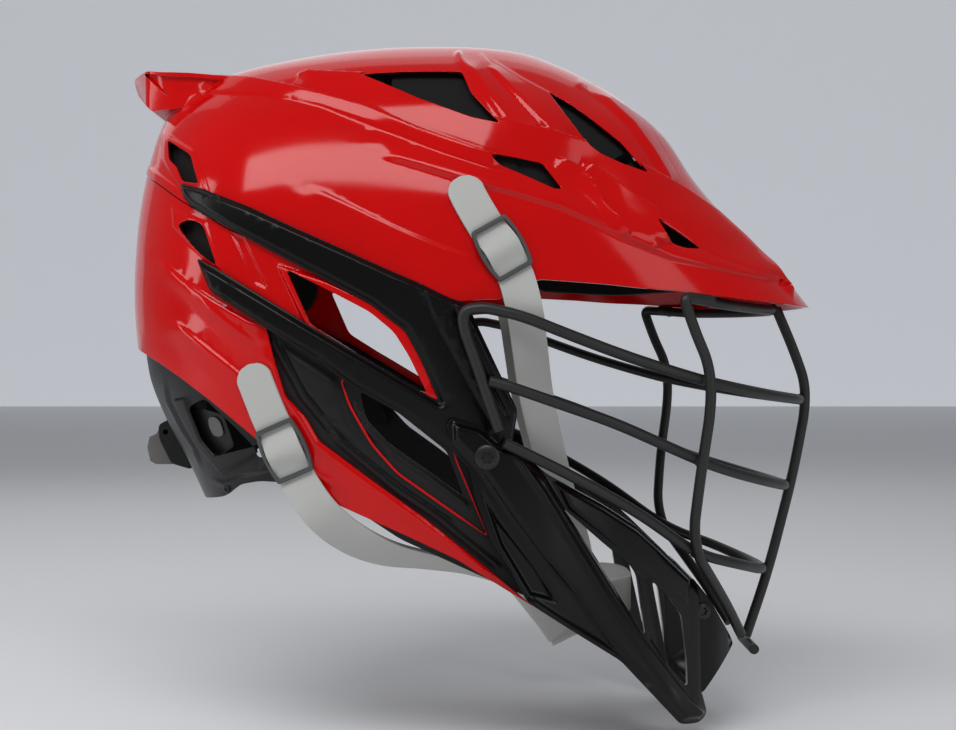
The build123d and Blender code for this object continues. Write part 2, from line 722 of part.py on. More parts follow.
def strap_stations(line, surface, lift):
    """Give the plane of each station of a strap: its middle, width direction and way along."""
    spots = []
    for px, py, *hanging in line:
        if hanging:
            share, way = hanging
            x, z = place(px, py, share * half_shell)
            spots.append((Vector(x, -share * half_shell, z), Vector(*way)))
        else:
            spot, facing = sight_solid(px, py, surface)
            spots.append((spot + facing * lift, facing))
    planes = []
    for i, (spot, facing) in enumerate(spots):
        ahead = spots[min(i + 1, len(spots) - 1)][0]
        back = spots[max(i - 1, 0)][0]
        along = (ahead - back).normalized()
        across = along.cross(facing).normalized()
        planes.append(Plane(origin=spot, x_dir=across, z_dir=along))
    return planes


def strap_solid(planes):
    """Loft a flat strap through its stations."""
    with BuildPart(mode=Mode.PRIVATE) as strap:
        faces = []
        for plane in planes:
            with BuildSketch(plane, mode=Mode.PRIVATE) as section:
                Rectangle(web_width, web_thick)
            faces.append(section.sketch.face())
        loft(faces, ruled=True)
    return strap.part


buckle_length = 24.0
window_length = 17.0
buckle_thick = 2.2
buckle_round = 3.0
side_bar = 2.4
side_gap = 1.0
buckle_width = web_width + 2 * side_gap + 2 * side_bar


def buckle_solid(plane):
    """Make a webbing slide: a bowed ring that lies round the strap, with its bars over the webbing."""
    with BuildPart(mode=Mode.PRIVATE) as buckle:
        with BuildSketch(plane):
            RectangleRounded(buckle_width, buckle_length, buckle_round)
            RectangleRounded(web_width + 2 * side_gap, window_length, buckle_round / 2, mode=Mode.SUBTRACT)
        extrude(amount=buckle_thick)
        with BuildSketch(plane.offset(-web_thick)):
            for way in (1, -1):
                with Locations((way * (web_width / 2 + side_gap + side_bar / 2), 0)):
                    Rectangle(side_bar, buckle_length - 2 * buckle_round)
        extrude(amount=web_thick)
    return buckle.part


web_lift = web_gap + web_thick / 2
for strap_name, strap_line, surface, buckle_station in (
    ("front", FRONT_STRAP, crown_form(0), 3), ("rear", REAR_STRAP, head_form(0), 3)
):
    stations = strap_stations(strap_line, surface, web_lift)
    with BuildPart() as strap:
        add(strap_solid(stations))
    finish_pair(strap, strap_name + "_strap")
    seat = stations[buckle_station]
    outward = seat.x_dir.cross(seat.z_dir)
    lifted = seat.origin + outward * (web_thick / 2 + web_gap)
    with BuildPart() as buckle:
        add(buckle_solid(Plane(origin=lifted, x_dir=seat.x_dir, z_dir=outward)))
    finish_pair(buckle, strap_name + "_buckle")

# Chin strap: cup of doubled webbing round the chin
cup_wall = 2.6
cup_half = 0.42 * half_shell
CUP_PLAN = ((540, 0.44), (585, 0.42), (612, 0.34), (628, 0.22), (634, 0.10))
CUP_EDGE = ((543, 612), (591, 550), (614, 556), (636, 574), (627, 610), (588, 641), (552, 646))

with BuildPart() as chin_strap:
    cup_plan = [(place(px, 0, share * half_shell)[0], share * half_shell) for px, share in CUP_PLAN]
    cup_inner = [(x - cup_wall, y - cup_wall) for x, y in cup_plan]
    add(plan_prism(cup_plan + [(x, -y) for x, y in reversed(cup_plan)]))
    add(plan_prism(cup_inner + [(x, -y) for x, y in reversed(cup_inner)]), mode=Mode.SUBTRACT)
    cup_side = [place(px, py, cup_half) for px, py in CUP_EDGE]
    add(side_prism(cup_side, inner=-half_shell, outer=half_shell), mode=Mode.INTERSECT)
finish(chin_strap, "chin_strap")

# Fit yoke: carrier that slides fore and aft inside the rear shell, with its lock lever
carrier_wall = 3.0
CARRIER_LEVELS = (
    (510, 220, 345, 719, 0.875), (456, 194, 350, 719, 0.885), (419, 174, 350, 720, 0.909),
    (385, 160, 345, 721, 0.953), (360, 154.7, 341, 721, 0.968), (330, 151.2, 338, 721, 0.973),
)
CARRIER_EDGE = (
    (100, 346, 0.0), (150, 346), (206, 384), (244, 414), (270, 430), (300, 452), (296, 483), (260, 481),
    (241, 484), (226, 496), (208, 496, 0.3), (100, 496, 0.0),
)
CARRIER_WINDOW = ((190, 405), (204, 398), (236, 428), (256, 448), (222, 468), (206, 442))


def carrier_form(grow):
    """Make the right-hand half of the yoke's form."""
    return form(CARRIER_LEVELS, grow, domed=False)


def carrier_width(x, z, grow=0.0):
    """Give the half width of the yoke's form at x and z."""
    return form_width(x, z, CARRIER_LEVELS, grow)


with BuildPart(mode=Mode.PRIVATE) as carrier_half:
    add(side_prism(side_points(CARRIER_EDGE, carrier_width), inner=0.0))
    add(carrier_form(0), mode=Mode.INTERSECT)
    add(carrier_form(-carrier_wall), mode=Mode.SUBTRACT)
    add(side_prism(side_points(CARRIER_WINDOW, carrier_width), inner=spine_half), mode=Mode.SUBTRACT)

# Lever at the back of the yoke: ears, pivot pin, lever and tab
ear_half = 12.0
ear_wall = 2.5
pin_radius = 1.5
pin_gap = 0.05
PIVOT_PX, PIVOT_PY = 170, 431
EAR_EDGE = ((163, 424), (178, 416), (200, 452), (196, 468), (176, 462), (164, 438))
LEVER_EDGE = (
    (164, 425), (174, 425), (184, 456), (178, 463), (160, 463), (154, 460), (151, 447), (153, 436),
    (160, 433),
)
lever_half = ear_half - ear_wall - 2 * fit_gap
pivot_x, pivot_z = place(PIVOT_PX, PIVOT_PY)

ear_points = [place(px, py) for px, py in EAR_EDGE]
with BuildPart(mode=Mode.PRIVATE) as ears:
    add(side_prism(ear_points, inner=ear_half - ear_wall, outer=ear_half))
    with BuildSketch(Plane.XZ):
        with Locations((pivot_x, pivot_z)):
            Circle(pin_radius)
    extrude(amount=side_reach, mode=Mode.SUBTRACT)
    add(carrier_form(-carrier_wall / 2), mode=Mode.SUBTRACT)

with BuildPart() as fit_carrier:
    add(both_halves(carrier_half.part))
    add([ears.part, ears.part.mirror(Plane.XZ)])
finish(fit_carrier, "fit_carrier")

lever_points = [place(px, py) for px, py in LEVER_EDGE]
with BuildPart() as fit_lever:
    add(side_prism(lever_points, inner=-lever_half, outer=lever_half))
    with BuildSketch(Plane.XZ.offset(-side_reach)):
        with Locations((pivot_x, pivot_z)):
            Circle(pin_radius + pin_gap)
    extrude(amount=2 * side_reach, mode=Mode.SUBTRACT)
finish(fit_lever, "fit_lever")

with BuildPart() as lever_pin:
    with BuildSketch(Plane.XZ.offset(-ear_half)):
        with Locations((pivot_x, pivot_z)):
            Circle(pin_radius)
    extrude(amount=2 * ear_half)
finish(lever_pin, "lever_pin")

# Nape pads inside the yoke
NAPE_PAD_EDGE = ((100, 360, 0.0), (178, 366), (200, 392), (200, 420), (184, 425), (100, 420, 0.0))
with BuildPart(mode=Mode.PRIVATE) as nape_half:
    add(side_prism(side_points(NAPE_PAD_EDGE, carrier_width), inner=0.0))
    add(carrier_form(-carrier_wall - fit_gap), mode=Mode.INTERSECT)
    add(carrier_form(-carrier_wall - fit_gap - pad_thick), mode=Mode.SUBTRACT)
with BuildPart() as nape_pads:
    add(both_halves(nape_half.part))
finish(nape_pads, "nape_pads")

# Small round fixings that share a node: rivets of the yoke and screws of the frame
rivet_radius = 2.2
rivet_height = 1.4

RIVET_SPOTS = ((262, 452), (280, 462))
carrier_outer = carrier_form(0)
rivet_planes = []
for px, py in RIVET_SPOTS:
    spot, facing = sight_solid(px, py, carrier_outer)
    rivet_planes.append(Plane(origin=spot, z_dir=facing))
with BuildPart() as carrier_rivets:
    with BuildSketch(*rivet_planes):
        Circle(rivet_radius)
    extrude(amount=rivet_height)
    add(carrier_outer, mode=Mode.SUBTRACT)
    mirror(about=Plane.XZ)
finish(carrier_rivets, "carrier_rivets")

with BuildPart() as frame_screws:
    with BuildSketch(*[plane.offset(fit_gap) for plane in seat_planes]):
        Circle(stud_radius)
    extrude(amount=stud_height)
    mirror(about=Plane.XZ)
finish(frame_screws, "frame_screws")
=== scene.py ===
"""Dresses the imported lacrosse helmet: gloss shells, satin frames, coated cage, webbing and fit yoke.

Outlines are columns and rows of the side picture. Each is moved to the depth of the surface it lies on.
"""

import logging
import math
from dataclasses import dataclass, field
from enum import Enum
from typing import Callable, Sequence

import bmesh
import bpy
import numpy as np
from mathutils import Matrix, Vector


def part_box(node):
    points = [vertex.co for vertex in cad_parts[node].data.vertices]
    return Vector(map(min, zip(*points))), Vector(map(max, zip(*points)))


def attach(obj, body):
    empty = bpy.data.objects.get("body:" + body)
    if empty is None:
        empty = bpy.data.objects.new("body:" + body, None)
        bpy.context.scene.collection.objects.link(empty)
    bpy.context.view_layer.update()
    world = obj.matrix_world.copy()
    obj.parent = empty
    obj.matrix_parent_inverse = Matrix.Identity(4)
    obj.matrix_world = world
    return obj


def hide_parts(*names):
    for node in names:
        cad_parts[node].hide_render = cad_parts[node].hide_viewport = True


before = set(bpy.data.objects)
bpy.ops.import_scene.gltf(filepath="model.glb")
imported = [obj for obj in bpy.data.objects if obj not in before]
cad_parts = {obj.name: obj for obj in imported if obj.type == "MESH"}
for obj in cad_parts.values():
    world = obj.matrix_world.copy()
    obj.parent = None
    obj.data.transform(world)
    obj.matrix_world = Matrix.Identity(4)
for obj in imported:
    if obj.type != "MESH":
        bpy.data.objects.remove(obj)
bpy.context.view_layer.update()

log = logging.getLogger("helmet")
Spot = tuple[float, ...]
Outline = Sequence[Spot]
Flat = list[tuple[float, float]]
Station = tuple[float | tuple[float, float, float], ...]

MM = 0.001
# Size of one picture column in the middle plane, and the eye's distance from that plane
SCALE = 0.0005
EYE = 0.797
# The picture's middle, and the spot in the picture where the helmet's origin lies
CENTRE_PX, CENTRE_PY = 478.0, 365.0
EAR_PX, EAR_PY = 398.0, 350.0
# Half the shell's width, the fullness of its level sections, and its wall
HALF_SHELL = 0.1065
FULLNESS = 2.3
WALL = 0.003
# Half the depth of a tool that cuts right through, and half the strip that cuts from both sides leave
REACH = 0.16
SPINE = 0.009
# Where a tool for the right-hand side ends
SIDE = -0.02
# Share of a run that the round at its end may take
RUN_SHARE = 0.48
# Points this close become one
WELD = 1e-6
# Picture columns: how far a fine grid reaches past a relief, and the widest slope that it covers whole
FINE_MARGIN = 1.5
FINE_SLOPE = 6.0
# Faces round and up a skin: one that only cuts, the crown's inner one, a pad's, and the yoke's
TOOL_GRID = (300, 120)
CROWN_TOOL_GRID = (200, 80)
PAD_GRID = (220, 90)
YOKE_GRID = (260, 60)
# Half the size of a tool that reaches past the whole helmet
BEYOND = 1.0
# Edges that turn by more than this many degrees stay sharp, unless a piece names its own angle
SHARP = 34.0


def place(px: float, py: float, depth: float = 0.0) -> tuple[float, float]:
    """Give x and z of a picture point at a depth to the right of the middle plane."""
    near = SCALE * (1 - depth / EYE)
    x = (px - CENTRE_PX) * near + (CENTRE_PX - EAR_PX) * SCALE
    return x, (CENTRE_PY - py) * near - (CENTRE_PY - EAR_PY) * SCALE


def picture(points: np.ndarray) -> np.ndarray:
    """Give the picture columns and rows of points, each seen from its own side.

    Args:
        points: an array of x, y and z.

    Returns:
        An array of columns and rows.
    """
    near = SCALE * (1 - np.abs(points[:, 1]) / EYE)
    px = (points[:, 0] - (CENTRE_PX - EAR_PX) * SCALE) / near + CENTRE_PX
    py = CENTRE_PY - (points[:, 2] + (CENTRE_PY - EAR_PY) * SCALE) / near
    return np.stack([px, py], axis=1)


def eased(t: np.ndarray) -> np.ndarray:
    """Ease from 0 to 1."""
    t = np.clip(t, 0.0, 1.0)
    return t * t * (3 - 2 * t)


def line_distance(spots: np.ndarray, line: Outline, closed: bool) -> tuple[np.ndarray, np.ndarray]:
    """Measure how far spots lie from a line, and on which side.

    Args:
        spots: columns and rows.
        line: the line's points.
        closed: whether the last point joins the first.

    Returns:
        The distance of each spot, and its side: positive above a line that runs to the right.
    """
    pts = np.array([p[:2] for p in line], float)
    ends = np.roll(pts, -1, axis=0) if closed else pts[1:]
    starts = pts if closed else pts[:-1]
    best = np.full(len(spots), 1e9)
    side = np.zeros(len(spots))
    for a, b in zip(starts, ends):
        run = b - a
        t = np.clip(((spots - a) @ run) / max(run @ run, 1e-9), 0, 1)
        off = spots - (a + t[:, None] * run)
        dist = np.hypot(off[:, 0], off[:, 1])
        nearer = dist < best
        best = np.where(nearer, dist, best)
        turn = off[:, 0] * run[1] - off[:, 1] * run[0]
        side = np.where(nearer, np.sign(turn), side)
    return best, side


def inside(spots: np.ndarray, outline: Outline) -> np.ndarray:
    """Tell which spots lie inside a closed outline.

    Args:
        spots: columns and rows.
        outline: the outline.

    Returns:
        True for each spot inside.
    """
    pts = np.array([p[:2] for p in outline], float)
    odd = np.zeros(len(spots), bool)
    for a, b in zip(pts, np.roll(pts, -1, axis=0)):
        if a[1] == b[1]:
            continue
        crosses = (a[1] > spots[:, 1]) != (b[1] > spots[:, 1])
        at = a[0] + (spots[:, 1] - a[1]) / (b[1] - a[1]) * (b[0] - a[0])
        odd ^= crosses & (spots[:, 0] < at)
    return odd


@dataclass(frozen=True)
class Panel:
    """A raised or sunk field inside an outline, with sloped edges."""

    outline: Outline
    height: float
    slope: float = 4.0

    def lift(self, spots: np.ndarray) -> np.ndarray:
        """Give the height of the field at each spot."""
        dist, _ = line_distance(spots, self.outline, True)
        return np.where(inside(spots, self.outline), self.height * eased(dist / self.slope), 0.0)

    def near(self, spots: np.ndarray, margin: float) -> np.ndarray:
        """Tell which spots lie near the field's sloped edge."""
        dist, _ = line_distance(spots, self.outline, True)
        return dist < self.slope + margin


@dataclass(frozen=True)
class Ledge:
    """A crease along a line, falling away by its own width above it and below it."""

    line: Outline
    height: float
    above: float
    below: float
    tip: float = 24.0

    def lift(self, spots: np.ndarray) -> np.ndarray:
        """Give the height of the crease at each spot.

        Args:
            spots: columns and rows.

        Returns:
            A height for each spot.
        """
        dist, side = line_distance(spots, self.line, False)
        width = np.where(side > 0, self.above, self.below)
        first, last = np.array(self.line[0][:2]), np.array(self.line[-1][:2])
        fade = np.minimum(np.hypot(*(spots - first).T), np.hypot(*(spots - last).T)) / self.tip
        return self.height * (1 - eased(dist / width)) * eased(fade)

    def near(self, spots: np.ndarray, margin: float) -> np.ndarray:
        """Tell which spots lie near the crease."""
        dist, _ = line_distance(spots, self.line, False)
        return dist < min(self.above, self.below, FINE_SLOPE) + margin


@dataclass(frozen=True)
class Band:
    """A raised band between an upper and a lower line, with a step along each."""

    upper: Outline
    lower: Outline
    height: float
    foot: float
    above: float = 5.0
    below: float = 5.0
    tip: float = 16.0

    def lift(self, spots: np.ndarray) -> np.ndarray:
        """Give the height of the band at each spot.

        Args:
            spots: columns and rows.

        Returns:
            A height for each spot.
        """
        high, _ = line_distance(spots, self.upper, False)
        low, _ = line_distance(spots, self.lower, False)
        level = self.height + (self.foot - self.height) * high / np.maximum(high + low, 1e-6)
        over = self.height * (1 - eased(high / self.above))
        under = self.foot * (1 - eased(low / self.below))
        beside = np.where(high < low, over, under)
        lift = np.where(inside(spots, (*self.upper, *reversed(self.lower))), level, beside)
        for end in (0, -1):
            middle = (np.array(self.upper[end][:2]) + np.array(self.lower[end][:2])) / 2
            lift = lift * eased(np.hypot(*(spots - middle).T) / self.tip)
        return lift

    def near(self, spots: np.ndarray, margin: float) -> np.ndarray:
        """Tell which spots lie near one of the steps.

        Args:
            spots: columns and rows.
            margin: how far past a step still counts.

        Returns:
            True for each spot that is near.
        """
        high, _ = line_distance(spots, self.upper, False)
        low, _ = line_distance(spots, self.lower, False)
        return (high < min(self.above, FINE_SLOPE) + margin) | (low < min(self.below, FINE_SLOPE) + margin)


Relief = Panel | Ledge | Band


def curve_through(rows: np.ndarray, t: np.ndarray) -> np.ndarray:
    """Follow a smooth curve through rows of numbers.

    Args:
        rows: the rows, with one extra before the first and after the last.
        t: places along them, from 0 at the first real row.

    Returns:
        One row for each place.
    """
    last = len(rows) - 4
    i = np.clip(np.floor(t).astype(int), 0, last)
    f = (t - i)[:, None]
    p0, p1, p2, p3 = rows[i], rows[i + 1], rows[i + 2], rows[i + 3]
    return 0.5 * (
        2 * p1 + (p2 - p0) * f + (2 * p0 - 5 * p1 + 4 * p2 - p3) * f ** 2
        + (3 * p1 - p0 - 3 * p2 + p3) * f ** 3
    )


@dataclass
class Form:
    """An egg-shaped form.

    Each level gives its row, its rear, widest and front columns, and its share of the half width.
    """

    levels: Sequence[Spot]
    apex: tuple[float, float] | None = (441.0, 50.5)
    equator: float = 306.0
    crest: float = 50.5
    aims: int = 10
    samples: int = 300
    rows: np.ndarray = field(init=False)
    steps: int = field(init=False)

    def __post_init__(self) -> None:
        """Turn the levels into metres, and add the row past each end."""
        rows = []
        for py, rear, wide, front, share in self.levels:
            across = (place(column, py)[0] for column in (rear, wide, front))
            rows.append([place(0, py)[1], *across, HALF_SHELL * share])
        if self.apex:
            x, z = place(*self.apex)
            rows.append([z, x, x, x, 0.0])
            z1, rear, wide, front, half = rows[-2]
            rows.append([z1, front, wide, rear, -half])
        else:
            rows.append(list(2 * np.array(rows[-1]) - np.array(rows[-2])))
        rows.insert(0, list(2 * np.array(rows[0]) - np.array(rows[1])))
        self.rows = np.array(rows)
        self.steps = len(rows) - 3

    def grown(self, t: np.ndarray, grow: np.ndarray | float) -> np.ndarray:
        """Give the level at each place t, grown outwards.

        Args:
            t: places up the form, in levels.
            grow: how far each grows.

        Returns:
            Height, rear, widest, front and half width for each place.
        """
        row = curve_through(self.rows, t).copy()
        middle = place(0, self.equator)[1]
        top = place(0, self.crest)[1]
        rise = np.clip((row[:, 0] - middle) / (top - middle), 0, 1)
        out = grow * np.sqrt(1 - rise ** 2)
        row[:, 0] += grow * rise
        row[:, 1] -= out
        row[:, 3] += out
        row[:, 4] = np.maximum(row[:, 4] + out, 0)
        return row

    def points(self, u: np.ndarray, v: np.ndarray, grow: np.ndarray | float) -> np.ndarray:
        """Map flat places to the form.

        Args:
            u: turn round the form, from -1 to 1, with 0 at the back.
            v: height, from -1 to 1.
            grow: how far the form grows there.

        Returns:
            An array of x, y and z.
        """
        row = self.grown((v + 1) / 2 * self.steps, grow)
        angle = u * math.pi
        c, s = np.cos(angle), np.sin(angle)
        end = np.where(c < 0, row[:, 3], row[:, 1])
        x = row[:, 2] + (end - row[:, 2]) * np.abs(c) ** (2 / FULLNESS)
        y = row[:, 4] * np.sign(s) * np.abs(s) ** (2 / FULLNESS)
        return np.stack([x, y, row[:, 0]], axis=1)

    def half_width(self, x: float, z: float, grow: float = 0.0) -> float:
        """Give the half width of the form at a place.

        Args:
            x: the place's x.
            z: the place's z.
            grow: how far the form grows.

        Returns:
            The half width, or zero outside the form.
        """
        row = self.grown(np.linspace(0, self.steps, self.samples), grow)
        order = np.argsort(row[:, 0])
        rear, wide, front, half = (np.interp(z, row[order, 0], row[order, k]) for k in (1, 2, 3, 4))
        end = front if x > wide else rear
        reach = min(max((x - wide) / (end - wide or 1e-6), 0.0), 1.0)
        return float(half * (1 - reach ** FULLNESS) ** (1 / FULLNESS))

    def sight(self, px: float, py: float, grow: float = 0.0) -> Vector:
        """Follow the line of sight through a picture point to the right-hand side of the form.

        Args:
            px: the point's column.
            py: the point's row.
            grow: how far the form grows.

        Returns:
            The spot on the form.
        """
        depth = 0.0
        for _ in range(self.aims):
            x, z = place(px, py, depth)
            depth = (depth + self.half_width(x, z, grow)) / 2
        return Vector((x, -depth, z))

    def facing(self, spot: Vector, grow: float = 0.0) -> Vector:
        """Give the outward direction of the form at a spot on its right-hand side.

        Args:
            spot: the spot.
            grow: how far the form grows.

        Returns:
            A direction of length one.
        """
        step = 3 * MM
        ways = ((1, 0), (-1, 0), (0, 1), (0, -1))
        ahead, behind, above, below = (
            self.half_width(spot.x + i * step, spot.z + k * step, grow) for i, k in ways
        )
        return Vector(((behind - ahead) / (2 * step), -1, (below - above) / (2 * step))).normalized()

    def flat(self, outline: Outline, grow: float = 0.0) -> Flat:
        """Place an outline on the form.

        Args:
            outline: its points. One with a third number lies at that share of the half width instead.
            grow: how far the form grows.

        Returns:
            The x and z of each point.
        """
        flat = []
        for px, py, *share in outline:
            if share:
                flat.append(place(px, py, share[0] * HALF_SHELL))
            else:
                spot = self.sight(px, py, grow)
                flat.append((spot.x, spot.z))
        return flat

    def skin(self, grow: float, reliefs: Sequence[Relief] = (), around: int = TOOL_GRID[0],
             up: int = TOOL_GRID[1], fine: int = 2) -> bmesh.types.BMesh:
        """Make the closed skin of the form, with its reliefs.

        Args:
            grow: how far the skin lies outside the form.
            reliefs: fields and creases in the skin.
            around: faces round the form.
            up: faces up the form.
            fine: cuts of each edge near a relief.

        Returns:
            A closed mesh.
        """
        bm = bmesh.new()
        bmesh.ops.create_grid(bm, x_segments=around, y_segments=up, size=1.0)
        if reliefs and fine:
            middles = np.array([f.calc_center_median()[:2] for f in bm.faces])
            spots = picture(self.points(middles[:, 0], middles[:, 1], grow))
            close = np.zeros(len(spots), bool)
            for relief in reliefs:
                close |= relief.near(spots, FINE_MARGIN)
            edges = {e for f, c in zip(bm.faces, close) if c for e in f.edges}
            bmesh.ops.subdivide_edges(bm, edges=list(edges), cuts=fine, use_grid_fill=True)
        flat = np.array([v.co[:2] for v in bm.verts])
        spots = picture(self.points(flat[:, 0], flat[:, 1], grow))
        lift = np.zeros(len(flat))
        raised = np.zeros(len(flat))
        for relief in reliefs:
            if isinstance(relief, Band):
                raised = np.maximum(raised, relief.lift(spots))
            else:
                lift += relief.lift(spots)
        placed = self.points(flat[:, 0], flat[:, 1], grow + lift + raised)
        for v, co in zip(bm.verts, placed):
            v.co = co
        bmesh.ops.remove_doubles(bm, verts=bm.verts, dist=2 * WELD)
        bmesh.ops.dissolve_degenerate(bm, edges=bm.edges, dist=0.1 * WELD)
        bmesh.ops.holes_fill(bm, edges=[e for e in bm.edges if e.is_boundary], sides=0)
        bmesh.ops.recalc_face_normals(bm, faces=bm.faces)
        return bm


CROWN = Form((
    (334, 144, 333, 826, 0.985), (306, 143, 333, 803, 1.0), (284, 143, 333, 785, 1.0),
    (262, 144, 334, 764, 0.998), (236, 146, 335, 739, 0.99), (210, 149, 338, 713, 0.968),
    (182, 154, 345, 690, 0.925), (143, 164, 358, 664, 0.83), (113, 180, 372, 630, 0.715),
    (89, 216, 392, 594, 0.585), (72, 272, 412, 562, 0.44), (60, 332, 430, 532, 0.29),
    (53, 392, 440, 492, 0.14),
))
HEAD = Form((
    (660, 221, 400, 697, 0.85), (560, 186, 380, 713, 0.905), (470, 164, 355, 719, 0.955),
    (380, 150, 340, 721, 0.985), (306, 143, 333, 719, 1.0), (236, 146, 335, 709, 0.99),
    (182, 154, 345, 690, 0.925), (143, 164, 358, 664, 0.83), (113, 180, 372, 630, 0.715),
    (89, 216, 392, 594, 0.585), (72, 272, 412, 562, 0.44), (60, 332, 430, 532, 0.29),
    (53, 392, 440, 492, 0.14),
))
YOKE = Form((
    (510, 220, 345, 719, 0.875), (456, 194, 350, 719, 0.885), (419, 174, 350, 720, 0.909),
    (385, 160, 345, 721, 0.953), (360, 154.7, 341, 721, 0.968), (330, 151.2, 338, 721, 0.973),
), apex=None)


class Grain(Enum):
    """The fine surface of a finish."""

    PEEL = "orange peel of a gloss moulding"
    SATIN = "fine texture of a satin moulding"
    POWDER = "pebbled coat of a wire"
    WOVEN = "webbing"
    FOAM = "foam under knitted cloth"
    BRUSHED = "brushed metal"


# Noise scale, bump strength and bump distance of each moulded, coated or foam surface
GRAIN_BUMPS = {
    Grain.PEEL: (160.0, 0.02, 0.0005),
    Grain.SATIN: (2600.0, 0.10, 0.0001),
    Grain.POWDER: (1500.0, 0.35, 0.0002),
    Grain.FOAM: (1800.0, 0.5, 0.0003),
    Grain.BRUSHED: (900.0, 0.1, 0.0001),
}
# Wave scale of the warp and of the weft, their unevenness, and the weave's bump strength and distance
THREADS = (("X", 420.0), ("Y", 330.0))
THREAD_WANDER = 0.4
WEAVE_BUMP = (0.35, 0.0004)
WEAVE_SHEEN = 0.25


@dataclass(frozen=True)
class Finish:
    """One finish: colour, gloss and fine surface."""

    name: str
    slot: str
    colour: tuple[float, float, float]
    roughness: float
    grain: Grain
    metallic: float = 0.0
    specular: float = 0.35
    edge: float = 0.0006
    patches: tuple[float, float] = (35.0, 6.0)
    rough_shares: tuple[float, float] = (0.85, 1.2)
    colour_shares: tuple[float, float] = (0.9, 1.08)

    def material(self) -> bpy.types.Material:
        """Build the finish's material once, and give it again after that.

        Returns:
            The material.
        """
        found = bpy.data.materials.get(self.name)
        if found:
            return found
        made = bpy.data.materials.new(self.name)
        made.use_nodes = True
        nodes, links = made.node_tree.nodes, made.node_tree.links
        shader = nodes["Principled BSDF"]
        shader.inputs["Metallic"].default_value = self.metallic
        shader.inputs["Specular IOR Level"].default_value = self.specular
        if self.grain is Grain.WOVEN:
            shader.inputs["Sheen Weight"].default_value = WEAVE_SHEEN
        coords = nodes.new("ShaderNodeTexCoord")
        rounding = nodes.new("ShaderNodeBevel")
        rounding.samples = 4
        rounding.inputs["Radius"].default_value = self.edge
        bump = nodes.new("ShaderNodeBump")
        links.new(rounding.outputs["Normal"], bump.inputs["Normal"])
        links.new(bump.outputs["Normal"], shader.inputs["Normal"])
        height, strength, distance = self.height(nodes, links, coords)
        links.new(height, bump.inputs["Height"])
        bump.inputs["Strength"].default_value = strength
        bump.inputs["Distance"].default_value = distance
        self.vary(nodes, links, coords, shader)
        return made

    def noise(self, nodes: bpy.types.Nodes, links: bpy.types.NodeLinks, coords: bpy.types.Node, scale: float,
              detail: float = 3.0) -> bpy.types.Node:
        """Add a noise on object coordinates.

        Args:
            nodes: the material's nodes.
            links: its links.
            coords: its texture coordinates.
            scale: the noise's scale.
            detail: the noise's detail.

        Returns:
            The noise.
        """
        noise = nodes.new("ShaderNodeTexNoise")
        noise.inputs["Scale"].default_value = scale
        noise.inputs["Detail"].default_value = detail
        links.new(coords.outputs["Object"], noise.inputs["Vector"])
        return noise

    def height(self, nodes: bpy.types.Nodes, links: bpy.types.NodeLinks,
               coords: bpy.types.Node) -> tuple[bpy.types.NodeSocket, float, float]:
        """Build the height that the bump reads.

        Args:
            nodes: the material's nodes.
            links: its links.
            coords: its texture coordinates.

        Returns:
            The height's output, and the bump's strength and distance.
        """
        if self.grain is Grain.WOVEN:
            threads = []
            for direction, scale in THREADS:
                wave = nodes.new("ShaderNodeTexWave")
                wave.bands_direction = direction
                wave.inputs["Scale"].default_value = scale
                wave.inputs["Distortion"].default_value = THREAD_WANDER
                links.new(coords.outputs["UV"], wave.inputs["Vector"])
                threads.append(wave)
            both = nodes.new("ShaderNodeMath")
            both.operation = "MULTIPLY"
            for i, wave in enumerate(threads):
                links.new(wave.outputs["Fac"], both.inputs[i])
            return both.outputs[0], *WEAVE_BUMP
        scale, strength, distance = GRAIN_BUMPS[self.grain]
        return self.noise(nodes, links, coords, scale).outputs["Fac"], strength, distance

    def vary(self, nodes: bpy.types.Nodes, links: bpy.types.NodeLinks, coords: bpy.types.Node,
             shader: bpy.types.Node) -> None:
        """Vary the roughness and the colour a little over the surface.

        Args:
            nodes: the material's nodes.
            links: its links.
            coords: its texture coordinates.
            shader: its shader.
        """
        noise = self.noise(nodes, links, coords, *self.patches)
        spread = nodes.new("ShaderNodeMapRange")
        spread.inputs["To Min"].default_value = self.roughness * self.rough_shares[0]
        spread.inputs["To Max"].default_value = self.roughness * self.rough_shares[1]
        links.new(noise.outputs["Fac"], spread.inputs["Value"])
        links.new(spread.outputs["Result"], shader.inputs["Roughness"])
        ramp = nodes.new("ShaderNodeValToRGB")
        for stop, share in zip(ramp.color_ramp.elements, self.colour_shares):
            stop.color = (*(min(c * share, 1.0) for c in self.colour), 1.0)
        links.new(noise.outputs["Fac"], ramp.inputs["Fac"])
        links.new(ramp.outputs["Color"], shader.inputs["Base Color"])


SHELL_RED = Finish("shell_red", "shell_gloss", (0.56, 0.0004, 0.0006), 0.1, Grain.PEEL, specular=0.32)
TRIM_RED = Finish("trim_red", "trim_gloss", (0.56, 0.0008, 0.001), 0.2, Grain.PEEL, specular=0.25)
FRAME_BLACK = Finish("frame_black", "frame_satin", (0.0028, 0.0028, 0.003), 0.26, Grain.SATIN, specular=0.2)
CHIN_BLACK = Finish("chin_black", "chin_gloss", (0.002, 0.002, 0.0022), 0.18, Grain.SATIN, specular=0.24)
GUARD_GREY = Finish("guard_grey", "guard_satin", (0.011, 0.011, 0.0115), 0.36, Grain.SATIN, specular=0.22)
CAGE_COAT = Finish("cage_coat", "cage_coat", (0.019, 0.0175, 0.0165), 0.42, Grain.POWDER, edge=0.0003)
WEBBING = Finish("webbing", "webbing", (0.45, 0.455, 0.435), 0.7, Grain.WOVEN, specular=0.2, edge=0.0003)
BUCKLE_GREY = Finish("buckle_grey", "buckle", (0.065, 0.069, 0.069), 0.4, Grain.SATIN, edge=0.0004)
